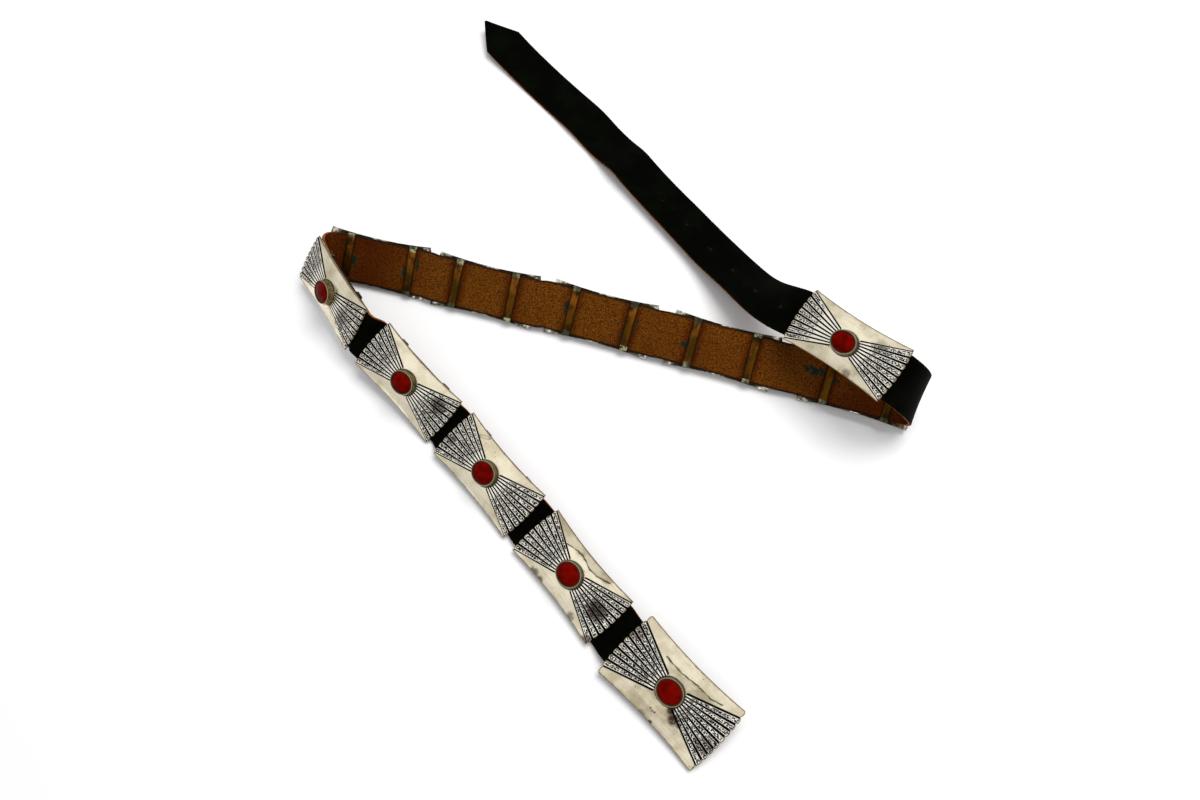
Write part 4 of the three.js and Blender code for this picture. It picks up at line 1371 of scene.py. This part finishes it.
def flesh_finish(finish, belt):
    """Brown suede face with a fibrous nap, dark stains by the loops, painted shade at the ends of the back run
    and along the edges, and green bloom
    """
    loop, bloomed, edge_shade, rub = finish.masks("Wear", "Red", "Green", "Blue", "Alpha")
    place = finish.place()
    nap = finish.noise(place, 1300.0, 3.0, 0.6)
    fibre = finish.noise(finish.lay(600.0, 1300.0), 1.0, 4.0, 0.7)
    soft = finish.noise(place, 45.0, 4.0, 0.6)
    bloom = finish.noise(place, 260.0, 4.0, 0.65)
    finish.colour = finish.mix(finish.ease(nap, 0.36, 0.6), (0.018, 0.004, 0.0003), belt.strap.flesh)
    finish.cover(finish.ease(fibre, 0.55, 0.68) * 0.6, (0.25, 0.1, 0.014))
    finish.cover(finish.ease(soft, 0.5, 0.75) * 0.35, (0.045, 0.012, 0.001))
    finish.cover(rub * 0.5, (0.02, 0.006, 0.001))
    # Dark red stains by the loops, and painted shade at the two ends of the back run
    finish.cover(loop * finish.ease(soft, 0.2, 0.5) * 0.7, (0.026, 0.001, 0.0))
    # Painted shade on the suede's edges along the back run and under the plates
    finish.cover(finish.ease(edge_shade * rub, 0.45, 0.8) * 0.95, (0.003, 0.003, 0.002))
    green = (loop * finish.ease(bloom, 0.62, 0.7)).high(finish.ease(bloom + bloomed * 0.3, 0.62, 0.76))
    finish.cover(green * 0.95, belt.loop.verdigris)
    normal = finish.bump(nap + fibre * 0.7, 0.0003, 0.8)
    finish.surface(rough=0.88 + nap * 0.1, shine=0.03, normal=normal)


def raw_finish(finish, belt):
    """Raw cut edge, orange-brown, with painted shade in the holes, under the plates and along the run that
    lies face down
    """
    edge_shade, hole = finish.masks("Wear", "Blue", "Green")
    place = finish.place()
    fibre = finish.noise(place, 800.0, 4.0, 0.7)
    soft = finish.noise(place, 90.0, 4.0, 0.6)
    finish.colour = finish.mix(finish.ease(fibre, 0.38, 0.64), belt.strap.raw, (0.08, 0.024, 0.004))
    finish.cover(finish.ease(soft, 0.46, 0.62) * 0.6, (0.03, 0.01, 0.002))
    # Painted shade on the walls of the holes; the same mask also darkens cut edges by the green bloom
    finish.cover(hole * 0.95, (0.014, 0.0035, 0.0012))
    # Painted shade on the cut edges along the back run and under the plates
    finish.cover(edge_shade * 0.94, (0.004, 0.003, 0.002))
    normal = finish.bump(fibre, 0.0003, 0.7)
    finish.surface(rough=0.7 + fibre * 0.15, shine=0.1, normal=normal)


def floor_finish(finish, belt):
    """Plain pale floor"""
    finish.colour = tuple(belt.stage.floor)
    finish.surface(rough=0.95)


FINISHES = {
    "black_grain": grain_finish, "brown_suede": flesh_finish, "raw_edge": raw_finish,
    "stamped_silver": silver_finish, "aged_bezel": bezel_finish, "red_coral": coral_finish,
    "aged_copper": copper_finish, "old_solder": solder_finish, "pale_floor": floor_finish,
}


def finishes_of(scene, *names):
    """The finishes with these names, each made once"""
    for name in names:
        if name not in bpy.data.materials:
            finish = Finish(name)
            FINISHES[name](finish, scene.concho_belt)
    return [bpy.data.materials[name] for name in names]


def measured(scene):
    """The sizes, how the plates lie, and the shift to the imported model's frame"""
    sizes = Sizes(scene.concho_belt)
    lies = plate_lies(sizes)
    return sizes, lies, shift_to_frame(sizes, lies)


def spots_of(scene):
    """Every plate's spot, from the buckle on"""
    sizes, lies, shift = measured(scene)
    spots = [Spot("buckle", "buckle", "buckle_stone", 0, lies[0], sizes, shift)]
    for index, lie in enumerate(lies[1:], 1):
        name = f"{index:02d}"
        spots.append(Spot(name, f"concho_{name}", f"stone_{name}", index, lie, sizes, shift))
    return spots


def build_on(spots, build, finishes):
    for spot in spots:
        build(spot, finishes)
    return {"FINISHED"}


class BELT_OT_strap(bpy.types.Operator):
    """Make the leather strap with its folds, point and holes"""

    bl_idname = "belt.make_strap"
    bl_label = "Strap"

    def execute(self, context):
        finishes = finishes_of(context.scene, "black_grain", "brown_suede", "raw_edge")
        build_strap(*measured(context.scene), finishes)
        return {"FINISHED"}


class BELT_OT_plates(bpy.types.Operator):
    """Make the silver plates with their fans of stamped ribs"""

    bl_idname = "belt.make_plates"
    bl_label = "Silver plates"

    def execute(self, context):
        return build_on(spots_of(context.scene), build_plate, finishes_of(context.scene, "stamped_silver"))


class BELT_OT_bezels(bpy.types.Operator):
    """Make the tapered bezels that hold the stones"""

    bl_idname = "belt.make_bezels"
    bl_label = "Bezels"

    def execute(self, context):
        return build_on(spots_of(context.scene), build_bezel, finishes_of(context.scene, "aged_bezel"))


class BELT_OT_corals(bpy.types.Operator):
    """Make the domed coral stones"""

    bl_idname = "belt.make_corals"
    bl_label = "Coral stones"

    def execute(self, context):
        return build_on(spots_of(context.scene), build_coral, finishes_of(context.scene, "red_coral"))


class BELT_OT_loops(bpy.types.Operator):
    """Make the copper loops with their solder tabs"""

    bl_idname = "belt.make_loops"
    bl_label = "Copper loops"

    def execute(self, context):
        finishes = finishes_of(context.scene, "aged_copper", "old_solder")
        return build_on(spots_of(context.scene), build_loops, finishes)


class BELT_OT_hook(bpy.types.Operator):
    """Make the hook on the back of the buckle"""

    bl_idname = "belt.make_hook"
    bl_label = "Hook"

    def execute(self, context):
        return build_on(spots_of(context.scene)[:1], build_hook, finishes_of(context.scene, "aged_bezel"))


def add_softbox(name, place, aim, size, power, colour):
    """Rectangular area light that looks from a place at its aim"""
    light = bpy.data.lights.new(name, "AREA")
    light.shape = "RECTANGLE"
    light.size, light.size_y = size
    light.energy = power
    light.color = colour
    lamp = bpy.data.objects.new(name, light)
    bpy.context.scene.collection.objects.link(lamp)
    lamp.location = place
    direction = Vector(aim) - Vector(place)
    lamp.rotation_euler = direction.to_track_quat("-Z", "Y").to_euler()
    return lamp


class BELT_OT_stage(bpy.types.Operator):
    """Make the pale floor, the soft studio light and the camera"""

    bl_idname = "belt.make_stage"
    bl_label = "Stage"

    def execute(self, context):
        scene, stage = context.scene, context.scene.concho_belt.stage
        mesh = bpy.data.meshes.new("floor")
        reach = 6.0
        corners = [(-reach, -reach, 0), (reach, -reach, 0), (reach, reach, 0), (-reach, reach, 0)]
        mesh.from_pydata(corners, [], [(0, 1, 2, 3)])
        mesh.materials.append(finishes_of(scene, "pale_floor")[0])
        floor = bpy.data.objects.new("floor", mesh)
        scene.collection.objects.link(floor)
        world = bpy.data.worlds.new("studio")
        world.use_nodes = True
        sky = Shade(world.node_tree, "ShaderNodeOutputWorld")
        place = sky.add("ShaderNodeTexCoord", {}, {}, "Generated")
        height = sky.add("ShaderNodeSeparateXYZ", {}, {"Vector": place}, "Z")
        tone = sky.mix(sky.ease(height, 0.1, 0.95), (0.7, 0.7, 0.71), (1.04, 1.04, 1.05))
        sky.show(sky.add("ShaderNodeBackground", {}, {"Color": tone, "Strength": 0.95}))
        scene.world = world
        key = add_softbox("key", (0.5, 0.42, 1.6), (0, 0, 0), (1.1, 1.1), 31.0, (1.0, 0.985, 0.96))
        key.visible_glossy = False
        lens = bpy.data.cameras.new("camera")
        lens.sensor_width = 36.0
        lens.lens = stage.lens
        lens.clip_start = 0.01
        camera = bpy.data.objects.new("camera", lens)
        scene.collection.objects.link(camera)
        shift = measured(scene)[2] / METRE
        camera.location = (shift[0] + stage.camera_east, shift[1] + stage.camera_north, stage.camera_height)
        camera.rotation_euler = (math.radians(90) - stage.camera_pitch, 0, 0)
        bpy.context.scene.camera = camera
        scene.view_settings.view_transform = "Standard"
        return {"FINISHED"}


OPERATORS = [
    BELT_OT_stage, BELT_OT_strap, BELT_OT_plates, BELT_OT_bezels, BELT_OT_corals, BELT_OT_loops, BELT_OT_hook,
]


class BELT_PT_panel(bpy.types.Panel):
    """Sizes, colours and steps of the concho belt"""

    bl_label = "Concho belt"
    bl_idname = "BELT_PT_panel"
    bl_space_type = "VIEW_3D"
    bl_region_type = "UI"
    bl_category = "Concho belt"

    def draw(self, context):
        belt = context.scene.concho_belt
        for group in (belt.strap, belt.plate, belt.stone, belt.loop, belt.stage):
            box = self.layout.box()
            for name in group.bl_rna.properties.keys():
                if name not in ("rna_type", "name"):
                    box.prop(group, name)
        for operator in OPERATORS:
            self.layout.operator(operator.bl_idname)


CLASSES = [
    StrapSettings, PlateSettings, StoneSettings, LoopSettings, StageSettings, BeltSettings,
    *OPERATORS, BELT_PT_panel,
]


def register():
    for each in CLASSES:
        bpy.utils.register_class(each)
    bpy.types.Scene.concho_belt = PointerProperty(
        type=BeltSettings, name="Concho belt", description="Settings of the concho belt"
    )


def unregister():
    del bpy.types.Scene.concho_belt
    for each in reversed(CLASSES):
        bpy.utils.unregister_class(each)


def main():
    register()
    bpy.ops.belt.make_stage()
    bpy.ops.belt.make_strap()
    bpy.ops.belt.make_plates()
    bpy.ops.belt.make_bezels()
    bpy.ops.belt.make_corals()
    bpy.ops.belt.make_loops()
    bpy.ops.belt.make_hook()


if __name__ == "__main__":
    main()
